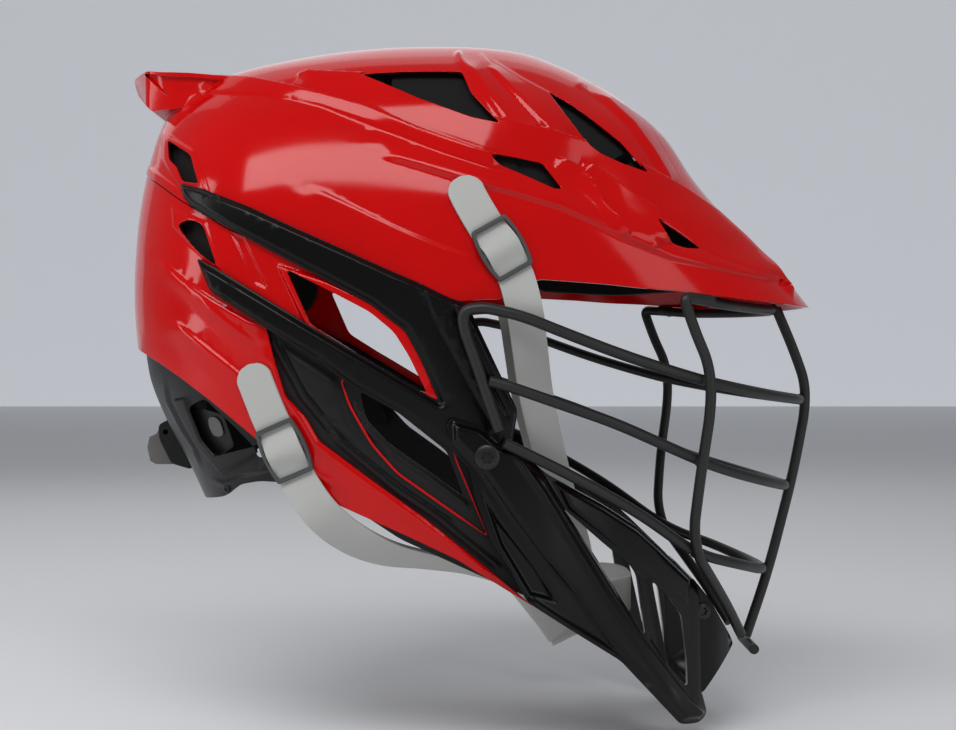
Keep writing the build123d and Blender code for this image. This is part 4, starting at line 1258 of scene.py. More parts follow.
@dataclass
class ChinGuard:
    """The truss round the jaw, its front block and the bolts."""

    wall: float = 5.5 * MM
    start: int = 425
    run: int = 290
    grid: tuple[int, int] = (290, 260)
    middle_row: float = 580.0
    half_height: float = 90 * MM
    samples: int = 60
    blend: int = 9
    aims: int = 12
    sharp: float = 46.0
    edge_round: float = 3 * MM
    window_round: float = 2.5 * MM
    block_round: float = 2 * MM
    block_plan_round: float = 8 * MM
    plan: Outline = (
        (430, 1.035), (497, 0.99), (550, 0.905), (610, 0.75), (655, 0.57), (684, 0.43), (704, 0.37),
        (716, 0.20),
    )
    edge: Outline = (
        (447, 424), (451, 418), (480, 426), (502, 445), (514, 447), (529, 458), (545, 473), (572, 488),
        (603, 505), (637, 527), (657, 545), (690, 577), (699, 590), (701, 690), (704, 699), (708, 714),
        (700, 722), (688, 724), (680, 724), (650, 692), (621, 661), (527, 602), (509, 568), (491, 541),
        (476, 500), (470, 470), (450, 444),
    )
    windows: Sequence[Outline] = (
        ((563, 508), (603, 543), (630, 565), (637, 576), (646, 638), (603, 570), (570, 518)),
        ((652, 581), (668, 596), (682, 616), (687, 660), (688, 690), (668, 664)),
    )
    reliefs: Sequence[Relief] = (
        Panel((
            (451, 420), (480, 428), (502, 447), (516, 449), (546, 478), (572, 520), (605, 572), (645, 639),
            (690, 697), (706, 712), (700, 720), (682, 722), (608, 646), (570, 594), (541, 559), (509, 516),
            (478, 470), (452, 442),
        ), 3.0 * MM, 6.0),
        Ledge(((512, 452), (540, 492), (566, 536), (600, 592), (640, 654), (676, 704)), 1.2 * MM, 5.0, 5.0),
        Panel((
            (552, 480), (572, 490), (603, 507), (637, 529), (657, 547), (690, 579), (688, 604), (668, 590),
            (648, 574), (630, 561), (603, 539), (567, 510),
        ), 2.4 * MM, 5.0),
        Panel(((637, 570), (651, 578), (668, 668), (650, 640)), -1.6 * MM, 3.0),
        Panel(((478, 484), (500, 520), (536, 566), (560, 604), (530, 596), (500, 546)), -2.2 * MM, 5.0),
        Ledge(((527, 598), (560, 620), (612, 652), (650, 688)), 1.6 * MM, 4.0, 6.0, 10.0),
    )
    block: Outline = (
        (684, 582), (692, 577), (701, 588), (710, 599), (725, 624), (733, 637), (740, 650), (703, 694),
        (689, 690), (688, 661), (686, 613),
    )
    block_plan: Outline = (
        (640, 0.52), (684, 0.445), (700, 0.415), (716, 0.37), (730, 0.28), (738, 0.18), (744, 0.0),
    )
    block_share: float = 0.42
    block_half: float = 80 * MM
    hollow_share: float = 0.88
    seat: Outline = ((400, 400), (562, 400), (562, 700), (400, 700))
    seat_height: float = 4.6 * MM
    bolt: Spot = (487, 457)
    bolt_radius: float = 5.7 * MM
    bolt_height: float = 2.6 * MM
    bolt_lift: float = 2.4 * MM
    bolt_way: tuple[float, float, float] = (0.04, -1, 0)
    screw: Spot = (702, 611)
    screw_radius: float = 4.2 * MM
    screw_height: float = 2.0 * MM
    screw_shares: tuple[float, float] = (0.405, 0.404)
    screw_way: tuple[float, float, float] = (0.39, -0.92, 0)

    def width(self, column: np.ndarray | float) -> np.ndarray | float:
        """Give the half width of the wall at a column of the middle plane."""
        return np.interp(column, [p[0] for p in self.plan], [p[1] for p in self.plan]) * HALF_SHELL

    def flat(self, outline: Outline) -> Flat:
        """Place an outline on the wall.

        Args:
            outline: its columns and rows.

        Returns:
            The x and z of each point.
        """
        made = []
        for px, py in outline:
            depth = 0.0
            for _ in range(self.aims):
                x, z = place(px, py, depth)
                column = CENTRE_PX + (x - (CENTRE_PX - EAR_PX) * SCALE) / SCALE
                depth = (depth + float(self.width(column))) / 2
            made.append((x, z))
        return made

    def arm(self) -> bpy.types.Object:
        """Make the right-hand arm of the truss.

        Returns:
            The arm, cut to its outline and windows, and clear of the side frame.
        """
        bm = bmesh.new()
        bmesh.ops.create_grid(bm, x_segments=self.grid[0], y_segments=self.grid[1], size=1.0)
        flat = np.array([v.co[:2] for v in bm.verts])
        columns = self.start + (flat[:, 0] + 1) / 2 * self.run
        heights = place(0, self.middle_row)[1] + flat[:, 1] * self.half_height
        base_columns = np.linspace(self.start, self.start + self.run + 1, self.samples)
        width = self.width(base_columns)
        even = np.ones(self.blend) / self.blend
        smooth = np.convolve(np.pad(width, self.blend // 2, "edge"), even, "valid")
        y = np.interp(columns, base_columns, smooth)
        x = (columns - CENTRE_PX) * SCALE + (CENTRE_PX - EAR_PX) * SCALE
        base = np.stack([x, -y, heights], axis=1)
        lift = np.zeros(len(base))
        for relief in self.reliefs:
            lift += relief.lift(picture(base))
        slope = np.gradient(smooth, base_columns * SCALE)
        lean = np.interp(columns, base_columns, slope)
        size = np.sqrt(1 + lean ** 2)
        base += np.stack([-lean / size, -1 / size, np.zeros(len(base))], axis=1) * lift[:, None]
        for v, co in zip(bm.verts, base):
            v.co = co
        grown = bmesh.ops.extrude_face_region(bm, geom=list(bm.faces))
        verts = [g for g in grown["geom"] if isinstance(g, bmesh.types.BMVert)]
        for v in verts:
            column = v.co.x / SCALE + EAR_PX
            lean_here = float(np.interp(column, base_columns, slope))
            out = math.sqrt(1 + lean_here ** 2)
            inner = -float(np.interp(column, base_columns, smooth))
            v.co.y = inner + self.wall * out
        bmesh.ops.recalc_face_normals(bm, faces=bm.faces)
        arm = as_object(bm, "chin_arm")
        carve(arm, prism(softened(self.flat(self.edge), self.edge_round), -REACH, 0.0), Cut.KEEP)
        for window in self.windows:
            carve(arm, prism(softened(self.flat(window), self.window_round), -REACH, 0.0), Cut.TAKE)
        seat = as_object(HEAD.skin(self.seat_height, (), *PAD_GRID), "seat")
        carve(seat, prism(self.flat(self.seat)), Cut.KEEP)
        carve(arm, seat, Cut.TAKE)
        return arm

    def front_block(self) -> bpy.types.Object:
        """Make the hollow block that closes the arms at the chin.

        Returns:
            The block.
        """
        depth = self.block_share * HALF_SHELL
        flat = softened([place(px, py, depth) for px, py in self.block], self.block_round)
        block = prism(flat, -self.block_half, self.block_half, "front_block")
        plan = [(place(px, 0, share * HALF_SHELL)[0], share * HALF_SHELL) for px, share in self.block_plan]
        plan += [(x, -y) for x, y in reversed(plan[:-1])]
        carve(block, plan_prism(softened(plan, self.block_plan_round)), Cut.KEEP)
        hollow = prism([(x - self.wall, z) for x, z in flat])
        carve(hollow, plan_prism([(x - self.wall, y * self.hollow_share) for x, y in plan]), Cut.KEEP)
        carve(block, hollow, Cut.TAKE)
        return block

    def build(self) -> None:
        """Make and dress the guard and its bolts."""
        arm = self.arm()
        left = mirrored(arm, "left_arm")
        block = self.front_block()
        carve(block, arm, Cut.JOIN)
        carve(block, left, Cut.JOIN)
        block.name = "chin_truss"
        shade(block, self.sharp)
        dress(block, CHIN_BLACK, Body.HELMET, "chin_guard")

        (x, z), = self.flat([self.bolt])
        depth = float(self.width(CENTRE_PX + (x - (CENTRE_PX - EAR_PX) * SCALE) / SCALE))
        spot = Vector((x, -depth - self.bolt_lift, z))
        head = screw_head("side_bolt", self.bolt_radius, self.bolt_height, spot, Vector(self.bolt_way))
        both = joined([head, mirrored(head, "tool")], "side_bolts")
        dress(both, BOLT_BLACK, Body.HELMET, "chin_guard_bolts")
        x, z = place(*self.screw, self.screw_shares[0] * HALF_SHELL)
        spot = Vector((x, -self.screw_shares[1] * HALF_SHELL, z))
        front = screw_head("front_screw", self.screw_radius, self.screw_height, spot, Vector(self.screw_way))
        both = joined([front, mirrored(front, "tool")], "front_screws")
        dress(both, BOLT_BLACK, Body.HELMET, "cage_screws")


def screw_head(name: str, radius: float, height: float, spot: Vector, way: Vector) -> bpy.types.Object:
    """Make a domed screw head with a star recess.

    Args:
        name: its name.
        radius: its radius.
        height: how far it stands out.
        spot: the middle of its seat.
        way: the direction it faces.

    Returns:
        The head.
    """
    profile = ((0, 0), (1.0, 0), (1.0, 0.45), (0.93, 0.75), (0.78, 0.92), (0.5, 1.0), (0, 1.0))
    turns, recess_turns, lobes = 40, 36, 6
    recess_share, lobe_share, floor_share, top_share = 0.42, 0.09, 0.5, 0.8
    bm = bmesh.new()
    verts = [bm.verts.new((radius * r, 0, height * h)) for r, h in profile]
    edges = [bm.edges.new(pair) for pair in zip(verts, verts[1:])]
    bmesh.ops.spin(
        bm, geom=verts + edges, cent=(0, 0, 0), axis=(0, 0, 1), angle=math.tau, steps=turns, use_merge=True,
    )
    bmesh.ops.remove_doubles(bm, verts=bm.verts, dist=0.1 * WELD)
    bmesh.ops.recalc_face_normals(bm, faces=bm.faces)
    head = as_object(bm, name)
    bm = bmesh.new()
    bmesh.ops.create_cone(bm, cap_ends=True, segments=recess_turns, radius1=1, radius2=1, depth=1)
    for v in bm.verts:
        turn = math.atan2(v.co.y, v.co.x)
        r = radius * (recess_share + lobe_share * math.cos(lobes * turn))
        up = floor_share + (top_share if v.co.z > 0 else 0.0)
        v.co = (r * math.cos(turn), r * math.sin(turn), height * up)
    carve(head, as_object(bm, "tool"), Cut.TAKE)
    head.data.transform(way.to_track_quat("Z", "Y").to_matrix().to_4x4())
    head.data.transform(Matrix.Translation(spot))
    shade(head)
    return head


def bent(points: Sequence[Vector], steps: int = 10) -> list[Vector]:
    """Round the corners of an open path as much as its runs allow.

    Args:
        points: the path.
        steps: runs in each round.

    Returns:
        The rounded path.
    """
    made = [points[0]]
    for back, spot, ahead in zip(points, points[1:], points[2:]):
        reach = RUN_SHARE * min((back - spot).length, (ahead - spot).length)
        a = spot + (back - spot).normalized() * reach
        b = spot + (ahead - spot).normalized() * reach
        made += [a * (1 - k / steps) ** 2 + spot * 2 * k / steps * (1 - k / steps) + b * (k / steps) ** 2
                 for k in range(steps + 1)]
    return made + [points[-1]]


def tube(points: Sequence[Vector], radius: float, name: str, facets: int = 5,
         sharp: float = 50.0) -> bpy.types.Object:
    """Sweep a round section along a path, and close its ends.

    Args:
        points: the path.
        radius: the section's radius.
        name: the piece's name.
        facets: how fine the section is.
        sharp: edges that turn by more than this many degrees stay sharp.

    Returns:
        The tube.
    """
    curve = bpy.data.curves.new(name, "CURVE")
    curve.dimensions = "3D"
    curve.bevel_depth = radius
    curve.bevel_resolution = facets
    curve.use_fill_caps = True
    spline = curve.splines.new("POLY")
    spline.points.add(len(points) - 1)
    for point, spot in zip(spline.points, points):
        point.co = (*spot, 1)
    holder = bpy.data.objects.new(name + "_path", curve)
    bpy.context.scene.collection.objects.link(holder)
    graph = bpy.context.evaluated_depsgraph_get()
    mesh = bpy.data.meshes.new_from_object(holder.evaluated_get(graph))
    bpy.data.objects.remove(holder)
    bm = bmesh.new()
    bm.from_mesh(mesh)
    bpy.data.meshes.remove(mesh)
    bmesh.ops.remove_doubles(bm, verts=bm.verts, dist=WELD)
    bmesh.ops.recalc_face_normals(bm, faces=bm.faces)
    return as_object(bm, name, sharp)


@dataclass
class Cage:
    """The coated wire cage."""

    wire: float = 2.5 * MM
    lap: float = -4.4 * MM
    weld: float = 2.9 * MM
    weld_reach: float = 7.0 * MM
    aims: int = 14
    front: Outline = (
        (300, 776), (314, 779), (348, 793), (384, 806), (406, 806), (474, 793), (571, 768), (645, 745),
    )
    side: Outline = ((300, 1.08), (340, 1.08), (450, 1.05), (540, 0.93), (645, 0.62))
    back: float = 478.0
    fullness: float = 1.8
    top_bar: Outline = ((697, 299), (708, 301.5), (728, 305), (750, 308, 0.36), (774, 310, 0.13))
    bar_1: Outline = (
        (499, 431), (491, 408), (477, 366), (464, 330), (462, 311), (482, 307), (520, 315), (570, 335),
        (620, 354), (665, 369), (705, 381), (740, 389), (776, 396, 0.42), (803, 400, 0.16),
    )
    bar_2: Outline = (
        (489, 381), (511, 387), (560, 404), (615, 423), (662, 444), (705, 463), (735, 473), (765, 481, 0.4),
        (788, 486, 0.15),
    )
    bar_3: Outline = (
        (504, 443), (560, 470), (600, 491), (640, 514), (685, 546), (708, 557), (738, 564, 0.42),
        (765, 570, 0.15),
    )
    upright: Outline = (
        (712, 301), (684, 297), (689, 313), (696, 333), (708, 362), (711.5, 388), (710, 416), (701, 474),
        (694, 529), (698, 556), (710, 576, 0.52), (727, 605, 0.33), (741, 634, 0.17),
    )
    centre: Outline = ((776, 308), (793, 348), (805, 382), (805, 410), (793, 474), (768, 571), (746, 636))

    def half(self, x: float, z: float, grow: float) -> float:
        """Give the half width of the cage at a place.

        Args:
            x: the place's x.
            z: the place's z.
            grow: how far the cage's face is moved outwards.

        Returns:
            The half width.
        """
        row = CENTRE_PY - (z + (CENTRE_PY - EAR_PY) * SCALE) / SCALE
        back = place(self.back, 0)[0]
        front = place(float(np.interp(row, *zip(*self.front))), 0)[0] + grow
        wide = float(np.interp(row, *zip(*self.side))) * HALF_SHELL + grow
        reach = min(max((x - back) / (front - back), 0.0), 1.0)
        return wide * (1 - reach ** self.fullness) ** (1 / self.fullness)

    def path(self, outline: Outline, grow: float) -> list[Vector]:
        """Place a wire's middle line on the cage's right-hand side.

        Args:
            outline: its points. One with a third number lies at that share of the half width instead.
            grow: how far the cage's face is moved outwards.

        Returns:
            The points.
        """
        made = []
        for px, py, *share in outline:
            depth = share[0] * HALF_SHELL if share else 0.0
            for _ in range(0 if share else self.aims):
                x, z = place(px, py, depth)
                depth = (depth + self.half(x, z, grow)) / 2
            x, z = place(px, py, depth)
            made.append(Vector((x, -depth, z)))
        return made

    def build(self) -> None:
        """Make and dress every wire and its welds."""
        bars = {
            "cage_top_bar": self.top_bar, "cage_bar_1": self.bar_1,
            "cage_bar_2": self.bar_2, "cage_bar_3": self.bar_3,
        }
        paths = {}
        for name, line in bars.items():
            right = self.path(line, self.lap)
            paths[name] = bent(right + [opposite(p) for p in reversed(right)])
        right = self.path(self.upright, 0.0)
        paths["cage_upright_right"] = bent(right)
        paths["cage_upright_left"] = bent([opposite(p) for p in right])
        paths["cage_centre_bar"] = bent([Vector((place(*p)[0], 0, place(*p)[1])) for p in self.centre])
        for name, path in paths.items():
            dress(tube(path, self.wire, name.replace("cage", "wire")), CAGE_COAT, Body.HELMET, name)
        low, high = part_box("cage_clamp")
        foot = [Vector(((low[0] + high[0]) / 2, y, (low[2] + high[2]) / 2)) for y in (low[1], 0, high[1])]
        dress(tube(foot, self.wire, "wire_foot"), CAGE_COAT, Body.HELMET, "cage_clamp")
        welds = []
        for post in ("cage_upright_right", "cage_upright_left", "cage_centre_bar"):
            for bar in bars:
                near, a, b = min(((a - b).length, i, j) for i, a in enumerate(paths[post])
                                 for j, b in enumerate(paths[bar]))
                if near < self.weld_reach:
                    welds.append((paths[post][a] + paths[bar][b]) / 2)
        bm = bmesh.new()
        for spot in welds:
            made = bmesh.ops.create_icosphere(bm, subdivisions=3, radius=self.weld)
            bmesh.ops.translate(bm, verts=made["verts"], vec=spot)
        dress(as_object(bm, "cage_welds"), CAGE_COAT, Body.HELMET)


@dataclass
class Webbing:
    """The straps, their slides and the band round the chin."""

    width: float = 16.0 * MM
    thick: float = 1.7 * MM
    lift: float = 1.4 * MM
    edge: float = 0.4 * MM
    tail: float = 0.2 * MM
    runs: int = 14
    across: int = 8
    sharp: float = 60.0
    hump_height: float = 2.5 * MM
    hump_reach: float = 9.0 * MM
    dip: float = 0.5 * MM
    dip_spot: float = 11.0 * MM
    dip_reach: float = 2.5 * MM
    band_width: float = 17.0 * MM
    slide_length: float = 25.0 * MM
    slide_width: float = 17.0 * MM
    slide_thick: float = 2.0 * MM
    slide_lift: float = 1.1 * MM
    bow: float = 1.7 * MM
    bow_points: int = 9
    slide_round: tuple[float, int] = (1.2 * MM, 4)
    hole_round: tuple[float, int] = (0.8 * MM, 3)
    side_bar: float = 1.5 * MM
    end_bar: float = 2.1 * MM
    middle_bar: float = 1.3 * MM
    slide_edge: float = 0.5 * MM
    front: Sequence[Station] = (
        (460, 178), (468, 197), (480, 218), (490, 233), (501, 249), (515, 276),
        (525, 312, 0.965, (0.1, -1, 0)), (530, 350, 0.90, (0.2, -1, 0)), (536, 395, 0.82, (0.3, -1, 0)),
        (548, 450, 0.72, (0.4, -1, 0)), (564, 510, 0.58, (0.5, -1, 0)), (574, 548, 0.4365, (0.05, -1, 0)),
        (580, 582, 0.4335, (0.05, -1, 0)),
    )
    rear: Sequence[Station] = (
        (250, 364), (260, 390), (272, 420), (286, 450), (296, 474), (320, 512, 0.968, (0, -1, -0.1)),
        (350, 537, 0.9, (0, -1, -0.4)), (386, 553, 0.82, (0, -0.9, -0.8)), (430, 561, 0.74, (0, -0.6, -1)),
        (480, 569, 0.65, (0, -0.5, -1)), (520, 583, 0.54, (0, -0.6, -0.9)), (547, 610, 0.4485, (0, -1, -0.2)),
        (563, 632, 0.442, (0.05, -1, 0)),
    )
    band: Sequence[Station] = (
        (545, 630, 0.435, (0, -1, 0)), (575, 615, 0.425, (0.05, -1, 0)), (600, 603, 0.38, (0.3, -1, 0)),
        (618, 596, 0.28, (0.8, -1, 0)), (629, 592, 0.14, (1, -0.4, 0)),
    )

    def stations(self, line: Sequence[Station], form: Form) -> list[tuple[Vector, Vector]]:
        """Give the middle of each station and the way it faces.

        Args:
            line: columns and rows. One that hangs free also has its share of the half width and its way.
            form: the form that the others lie on.

        Returns:
            A spot and a direction for each station.
        """
        made = []
        for px, py, *hanging in line:
            if hanging:
                depth = hanging[0] * HALF_SHELL
                x, z = place(px, py, depth)
                made.append((Vector((x, -depth, z)), Vector(hanging[1]).normalized()))
            else:
                spot = form.sight(px, py)
                way = form.facing(spot)
                made.append((spot + way * self.lift, way))
        return made

    def ribbon(self, stations: Sequence[tuple[Vector, Vector]], name: str, width: float,
               hump: Callable[[float], float], round_ends: tuple[bool, bool]) -> bpy.types.Object:
        """Sweep a flat woven band along its stations.

        Args:
            stations: the middle and the outward direction of each station.
            name: the piece's name.
            width: the band's width.
            hump: how far the band stands off its line, by the distance along it.
            round_ends: whether its start and its end are cut round.

        Returns:
            The band.
        """
        data = np.array([[*spot, *way] for spot, way in stations])
        data = np.vstack([2 * data[0] - data[1], data, 2 * data[-1] - data[-2]])
        steps = self.runs * (len(stations) - 1)
        rows = curve_through(data, np.linspace(0, len(stations) - 1, steps + 1))
        spots = [Vector(r[:3]) for r in rows]
        run = [0.0]
        for a, b in zip(spots, spots[1:]):
            run.append(run[-1] + (b - a).length)
        bm = bmesh.new()
        bmesh.ops.create_grid(bm, x_segments=self.across, y_segments=steps, size=1.0, calc_uvs=True)
        layer = bm.loops.layers.uv.verify()
        places = {}
        for v in bm.verts:
            i = round((v.co.y + 1) / 2 * steps)
            share = v.co.x
            along = (spots[min(i + 1, steps)] - spots[max(i - 1, 0)]).normalized()
            way = Vector(rows[i][3:])
            side = along.cross(way).normalized()
            out = side.cross(along).normalized()
            half = width / 2
            for end, wanted in ((run[i], round_ends[0]), (run[-1] - run[i], round_ends[1])):
                if wanted and end < half:
                    half = min(half, half * math.sqrt(max(1 - (1 - end / half) ** 2, 0.0)) + self.tail)
            places[v.index] = (share * half, run[i])
            v.co = spots[i] + side * share * half + out * hump(run[i])
        bm.verts.index_update()
        for face in bm.faces:
            for loop in face.loops:
                loop[layer].uv = places[loop.vert.index]
        bmesh.ops.recalc_face_normals(bm, faces=bm.faces)
        band = as_object(bm, name, self.sharp)
        wall = band.modifiers.new("wall", "SOLIDIFY")
        wall.thickness = self.thick
        wall.offset = 0.0
        edge = band.modifiers.new("edge", "BEVEL")
        edge.width = self.edge
        edge.segments = 2
        edge.limit_method = "ANGLE"
        settle(band)
        shade(band, self.sharp)
        return band

    def slide(self, spot: Vector, along: Vector, out: Vector, name: str) -> bpy.types.Object:
        """Make a webbing slide: a flat frame with bowed sides and a bar across its middle.

        Args:
            spot: the middle of the frame.
            along: the webbing's direction.
            out: the outward direction.
            name: the piece's name.

        Returns:
            The slide.
        """
        length, half, depth = self.slide_length / 2, self.slide_width / 2, self.slide_thick / 2

        def bowed(low: float, high: float, shrink: float) -> Flat:
            """Give the outline of the frame between two shares of its length, drawn in at its sides."""
            shares = np.linspace(low, high, self.bow_points)
            right = [(half - shrink + self.bow * (1 - s * s), s * length) for s in shares]
            return right + [(-x, z) for x, z in reversed(right)]

        body = prism(softened(bowed(-1, 1, 0), *self.slide_round), -depth, depth, name)
        for sign in (-1, 1):
            low, high = sorted((sign * self.middle_bar / length, sign * (1 - self.end_bar / length)))
            carve(body, prism(softened(bowed(low, high, self.side_bar), *self.hole_round)), Cut.TAKE)
        edge = body.modifiers.new("edge", "BEVEL")
        edge.width = self.slide_edge
        edge.segments = 3
        edge.limit_method = "ANGLE"
        settle(body)
        side = out.cross(along).normalized()
        out = along.cross(side).normalized()
        body.data.transform(Matrix((side, out, along)).transposed().to_4x4())
        body.data.transform(Matrix.Translation(spot))
        shade(body)
        return body

    def build(self) -> None:
        """Make and dress the straps, slides and chin band."""
        for name, line, form, at in (("front", self.front, CROWN, 4), ("rear", self.rear, HEAD, 3)):
            stations = self.stations(line, form)
            spot, way = stations[at]
            along = (stations[at + 1][0] - stations[at - 1][0]).normalized()
            before = sum((b[0] - a[0]).length for a, b in zip(stations[:at], stations[1:at + 1]))

            def hump(run: float, middle: float = before) -> float:
                """Lift the webbing over the slide's middle bar and press it down under the end bars."""
                away = abs(run - middle)
                rise = (1 + math.cos(math.pi * min(away / self.hump_reach, 1.0))) / 2
                sink = math.exp(-((away - self.dip_spot) / self.dip_reach) ** 2)
                return self.hump_height * rise - self.dip * sink

            strap = self.ribbon(stations, name + "_web", self.width, hump, (True, False))
            dress_pair(strap, name + "_web", WEBBING, Body.HELMET, name + "_strap")
            slide = self.slide(spot + way * self.slide_lift, along, way, name + "_slide")
            dress_pair(slide, name + "_slide", BUCKLE_GREY, Body.HELMET, name + "_buckle")
        right = self.stations(self.band, HEAD)
        whole = right + [(opposite(p), opposite(w)) for p, w in reversed(right)]
        band = self.ribbon(whole, "chin_band", self.band_width, lambda run: 0.0, (False, False))
        dress(band, WEBBING, Body.HELMET, "chin_strap")


@dataclass
class FitYoke:
    """The dark yoke at the nape, with its ears for the lever."""

    wall: float = 3.0 * MM
    sharp: float = 50.0
    fine: int = 2
    layer_round: float = 2 * MM
    edge_round: float = 3 * MM
    window_round: float = 2.5 * MM
    edge: Outline = (
        (100, 346, 0.0), (150, 346), (206, 384), (244, 414), (270, 430), (300, 452), (296, 483), (260, 481),
        (241, 484), (226, 496), (208, 496, 0.3), (100, 496, 0.0),
    )
    window: Outline = ((189, 407), (204, 398), (236, 428), (254, 447), (240, 450), (216, 456), (203, 441))
    reliefs: Sequence[Relief] = (
        Panel((
            (174, 399), (188, 397), (192, 408), (205, 440), (217, 454), (241, 447), (258, 444), (262, 453),
            (222, 475), (197, 447), (181, 416),
        ), 2.0 * MM, 2.6),
        Panel(((264, 446), (292, 458), (288, 474), (258, 470)), 1.0 * MM, 4.0),
        Ledge(((163, 376), (168, 402), (182, 430), (194, 448), (203, 476)), 1.2 * MM, 4.0, 4.0),
        Ledge(((206, 478), (224, 484), (244, 478), (270, 474), (290, 476)), 1.0 * MM, 4.0, 5.0),
    )
    web: Outline = ((190, 410), (201, 409), (222, 415), (233, 446), (216, 458), (202, 442))
    web_top: float = -2.8 * MM
    web_thick: float = 1.2 * MM
    slot: Outline = ((207, 418), (213, 416.5), (219, 421), (223, 434), (219, 437.5), (212, 436), (207.5, 426))
    slot_top: float = -2.2 * MM
    slot_thick: float = 1.0 * MM
    ear: Outline = ((163, 424), (178, 416), (200, 452), (196, 468), (176, 462), (164, 438))
    ear_sides: tuple[float, float] = (9.5 * MM, 12 * MM)
    screw: Spot = (228, 489)
    screw_radius: float = 2.1 * MM
    screw_height: float = 1.2 * MM

    def layer(self, outline: Outline, outer: float, thick: float, name: str) -> bpy.types.Object:
        """Make a right-hand layer inside an outline.

        Args:
            outline: its outline.
            outer: where its outer face lies.
            thick: its thickness.
            name: its name.

        Returns:
            The layer.
        """
        made = as_object(YOKE.skin(outer, (), *YOKE_GRID), name)
        carve(made, prism(softened(YOKE.flat(outline), self.layer_round), -REACH, SIDE), Cut.KEEP)
        carve(made, as_object(YOKE.skin(outer - thick, (), *YOKE_GRID), "tool"), Cut.TAKE)
        shade(made)
        return made

    def build(self) -> None:
        """Make and dress the yoke's pieces."""
        yoke = as_object(YOKE.skin(0.0, self.reliefs, *YOKE_GRID, self.fine), "fit_yoke")
        carve(yoke, as_object(YOKE.skin(-self.wall, (), *YOKE_GRID), "tool"), Cut.TAKE)
        carve(yoke, prism(softened(YOKE.flat(self.edge), self.edge_round)), Cut.KEEP)
        pierce(yoke, softened(YOKE.flat(self.window), self.window_round))
        inner, outer = self.ear_sides
        for near, far in ((-outer, -inner), (inner, outer)):
            ear = prism(softened([place(*p) for p in self.ear], self.layer_round), near, far)
            carve(ear, as_object(YOKE.skin(-self.wall / 2), "tool"), Cut.TAKE)
            carve(yoke, ear, Cut.JOIN)
        shade(yoke, self.sharp)
        dress(yoke, YOKE_GREY, Body.YOKE, "fit_carrier")
        web = self.layer(self.web, self.web_top, self.web_thick, "yoke_web")
        dress_pair(web, "yoke_web", YOKE_GREY, Body.YOKE, None)
        slot = self.layer(self.slot, self.slot_top, self.slot_thick, "yoke_slot")
        dress_pair(slot, "yoke_slot", LEVER_GREY, Body.YOKE, None)
        spot = YOKE.sight(*self.screw)
        head = screw_head("yoke_screw", self.screw_radius, self.screw_height, spot, YOKE.facing(spot))
        both = joined([head, mirrored(head, "tool")], "yoke_screws")
        dress(both, YOKE_GREY, Body.YOKE)


@dataclass
class Hardware:
    """The lever, the flush screws, the lever's pin and the yoke's rivets, with rounded edges.

    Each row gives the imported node, the piece's name, the width of its rounds, its finish, what it rides on,
    and how far both sides are pushed inwards.
    """

    flush: float = 4.0
    crease: float = 35.0
    rows: Sequence[tuple[str, str, float, Finish, Body, float]] = (
        ("fit_lever", "lock_lever", 0.8 * MM, LEVER_GREY, Body.LEVER, 0.0),
        ("frame_screws", "flush_screws", 0.3 * MM, FRAME_BLACK, Body.HELMET, 1.4 * MM),
        ("lever_pin", "hinge_pin", 0.2 * MM, PIN_STEEL, Body.YOKE, 0.0),
        ("carrier_rivets", "yoke_rivets", 0.3 * MM, PIN_STEEL, Body.YOKE, 0.0),
    )

    def rounded(self, node: str, name: str, width: float, sink: float) -> bpy.types.Object:
        """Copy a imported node, with rounded edges.

        Args:
            node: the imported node.
            name: the piece's name.
            width: the width of its rounds.
            sink: how far both sides are pushed inwards.

        Returns:
            The copy.
        """
        bm = bmesh.new()
        bm.from_mesh(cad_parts[node].data)
        bmesh.ops.remove_doubles(bm, verts=bm.verts, dist=WELD)
        bmesh.ops.dissolve_limit(bm, angle_limit=math.radians(self.flush), verts=bm.verts, edges=bm.edges)
        crease = math.radians(self.crease)
        sharp = [e for e in bm.edges if e.is_manifold and e.calc_face_angle(0) > crease]
        bmesh.ops.bevel(bm, geom=sharp, offset=width, affect="EDGES", segments=3, profile=0.5, material=-1,
                        clamp_overlap=True)
        for v in bm.verts:
            v.co.y -= math.copysign(sink, v.co.y)
        return as_object(bm, name)

    def build(self) -> None:
        """Make and dress every row's piece."""
        for node, name, width, finish, body, sink in self.rows:
            dress(self.rounded(node, name, width, sink), finish, body, node)


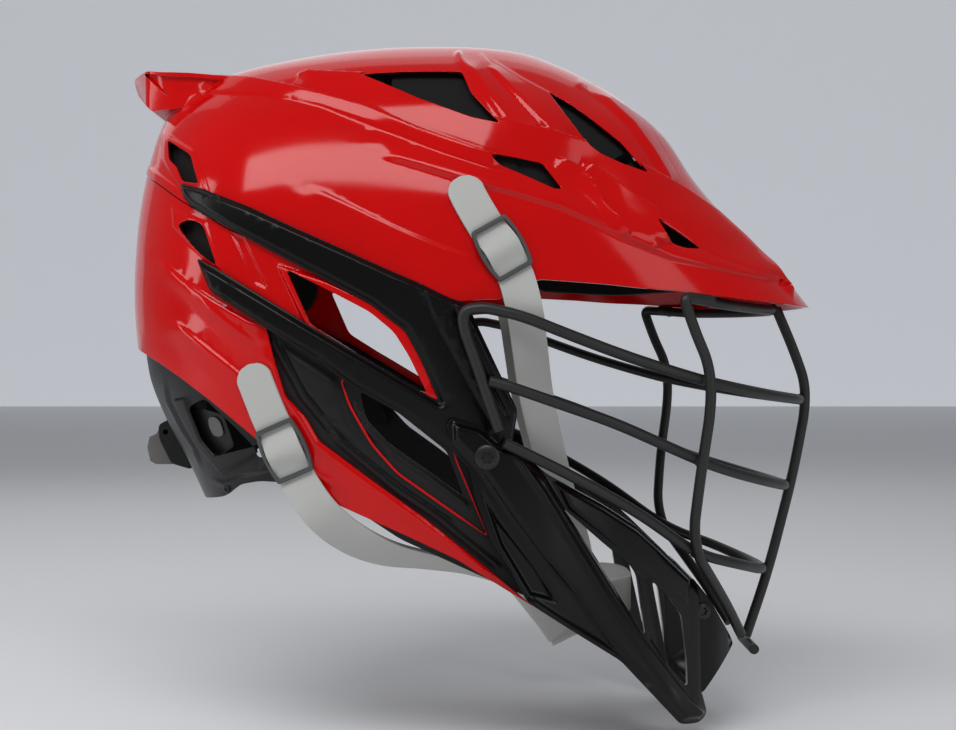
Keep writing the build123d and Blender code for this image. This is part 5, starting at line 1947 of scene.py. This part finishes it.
@dataclass
class Studio:
    """The floor, the lamps and the camera."""

    eye: tuple[float, float, float] = (0.040, -0.797, -0.0075)
    lens: float = 60.0
    sensor: float = 36.0
    floor: float = -0.184
    room: float = 6.0
    bend: float = 20.0
    paper: tuple[float, float, float, float] = (0.85, 0.86, 0.88, 1)
    paper_rough: float = 0.9
    glow: tuple[float, float, float, float] = (0.9, 0.93, 1.0, 1)
    glow_strength: float = 0.3
    air: tuple[float, float, float, float] = (0.9, 0.92, 0.95, 1)
    air_strength: float = 0.22
    aim: tuple[float, float, float] = (0.03, 0, 0)
    lamps: Sequence[tuple[str, tuple[float, float, float], tuple[float, float], float]] = (
        ("key", (-0.25, -1.05, 1.15), (1.5, 0.6), 16.0),
        ("strip", (-1.3, -0.45, 0.2), (0.25, 1.3), 4.5),
        ("side", (1.2, -0.9, 0.3), (0.4, 1.2), 2.5),
        ("back", (-0.3, 1.1, 1.0), (1.8, 1.2), 3.0),
    )

    def lamp(self, name: str, spot: tuple[float, float, float], size: tuple[float, float],
             power: float) -> None:
        """Add a soft rectangular lamp that points at the helmet.

        Args:
            name: its name.
            spot: where it hangs.
            size: its width and height.
            power: its power in watts.
        """
        data = bpy.data.lights.new(name, "AREA")
        data.shape = "RECTANGLE"
        data.size, data.size_y = size
        data.energy = power
        lamp = bpy.data.objects.new(name, data)
        lamp.location = spot
        lamp.rotation_euler = (Vector(self.aim) - Vector(spot)).to_track_quat("-Z", "Y").to_euler()
        bpy.context.scene.collection.objects.link(lamp)

    def backdrop(self) -> None:
        """Add the pale floor, and the wall behind it that glows a little."""
        bm = bmesh.new()
        bmesh.ops.create_grid(bm, x_segments=1, y_segments=1, size=self.room)
        bmesh.ops.translate(bm, verts=bm.verts, vec=(0, 0, self.floor))
        back = [e for e in bm.edges if all(v.co.y > self.room / 2 for v in e.verts)]
        grown = bmesh.ops.extrude_edge_only(bm, edges=back)
        verts = [g for g in grown["geom"] if isinstance(g, bmesh.types.BMVert)]
        bmesh.ops.translate(bm, verts=verts, vec=(0, 0, self.room))
        floor = as_object(bm, "studio_floor", self.bend)
        paper = bpy.data.materials.new("studio_paper")
        paper.use_nodes = True
        shader = paper.node_tree.nodes["Principled BSDF"]
        shader.inputs["Base Color"].default_value = self.paper
        shader.inputs["Roughness"].default_value = self.paper_rough
        floor.data.materials.append(paper)
        wall = paper.copy()
        wall.name = "studio_wall"
        shader = wall.node_tree.nodes["Principled BSDF"]
        shader.inputs["Emission Color"].default_value = self.glow
        shader.inputs["Emission Strength"].default_value = self.glow_strength
        floor.data.materials.append(wall)
        for face in floor.data.polygons:
            face.material_index = 1 if abs(face.normal.y) > 0.5 else 0

    def build(self) -> None:
        """Set the studio up."""
        scene = bpy.context.scene
        scene.view_settings.view_transform = "Standard"
        self.backdrop()
        world = bpy.data.worlds.new("studio")
        world.use_nodes = True
        world.node_tree.nodes["Background"].inputs["Color"].default_value = self.air
        world.node_tree.nodes["Background"].inputs["Strength"].default_value = self.air_strength
        scene.world = world
        for row in self.lamps:
            self.lamp(*row)
        camera = bpy.data.cameras.new("camera")
        camera.lens = self.lens
        camera.sensor_width = self.sensor
        view = bpy.data.objects.new("camera", camera)
        view.location = self.eye
        view.rotation_euler = (math.radians(90), 0, 0)
        scene.collection.objects.link(view)
        scene.camera = view


def main() -> None:
    """Build every sub-assembly in order."""
    logging.basicConfig(level=logging.INFO, format="%(name)s: %(message)s")
    parts = (
        Studio(), Shells(), SideFrames(), EarGuards(), Liners(), ChinGuard(), Cage(), Webbing(), FitYoke(),
        Hardware(),
    )
    for part in parts:
        part.build()


if __name__ == "__main__":
    main()
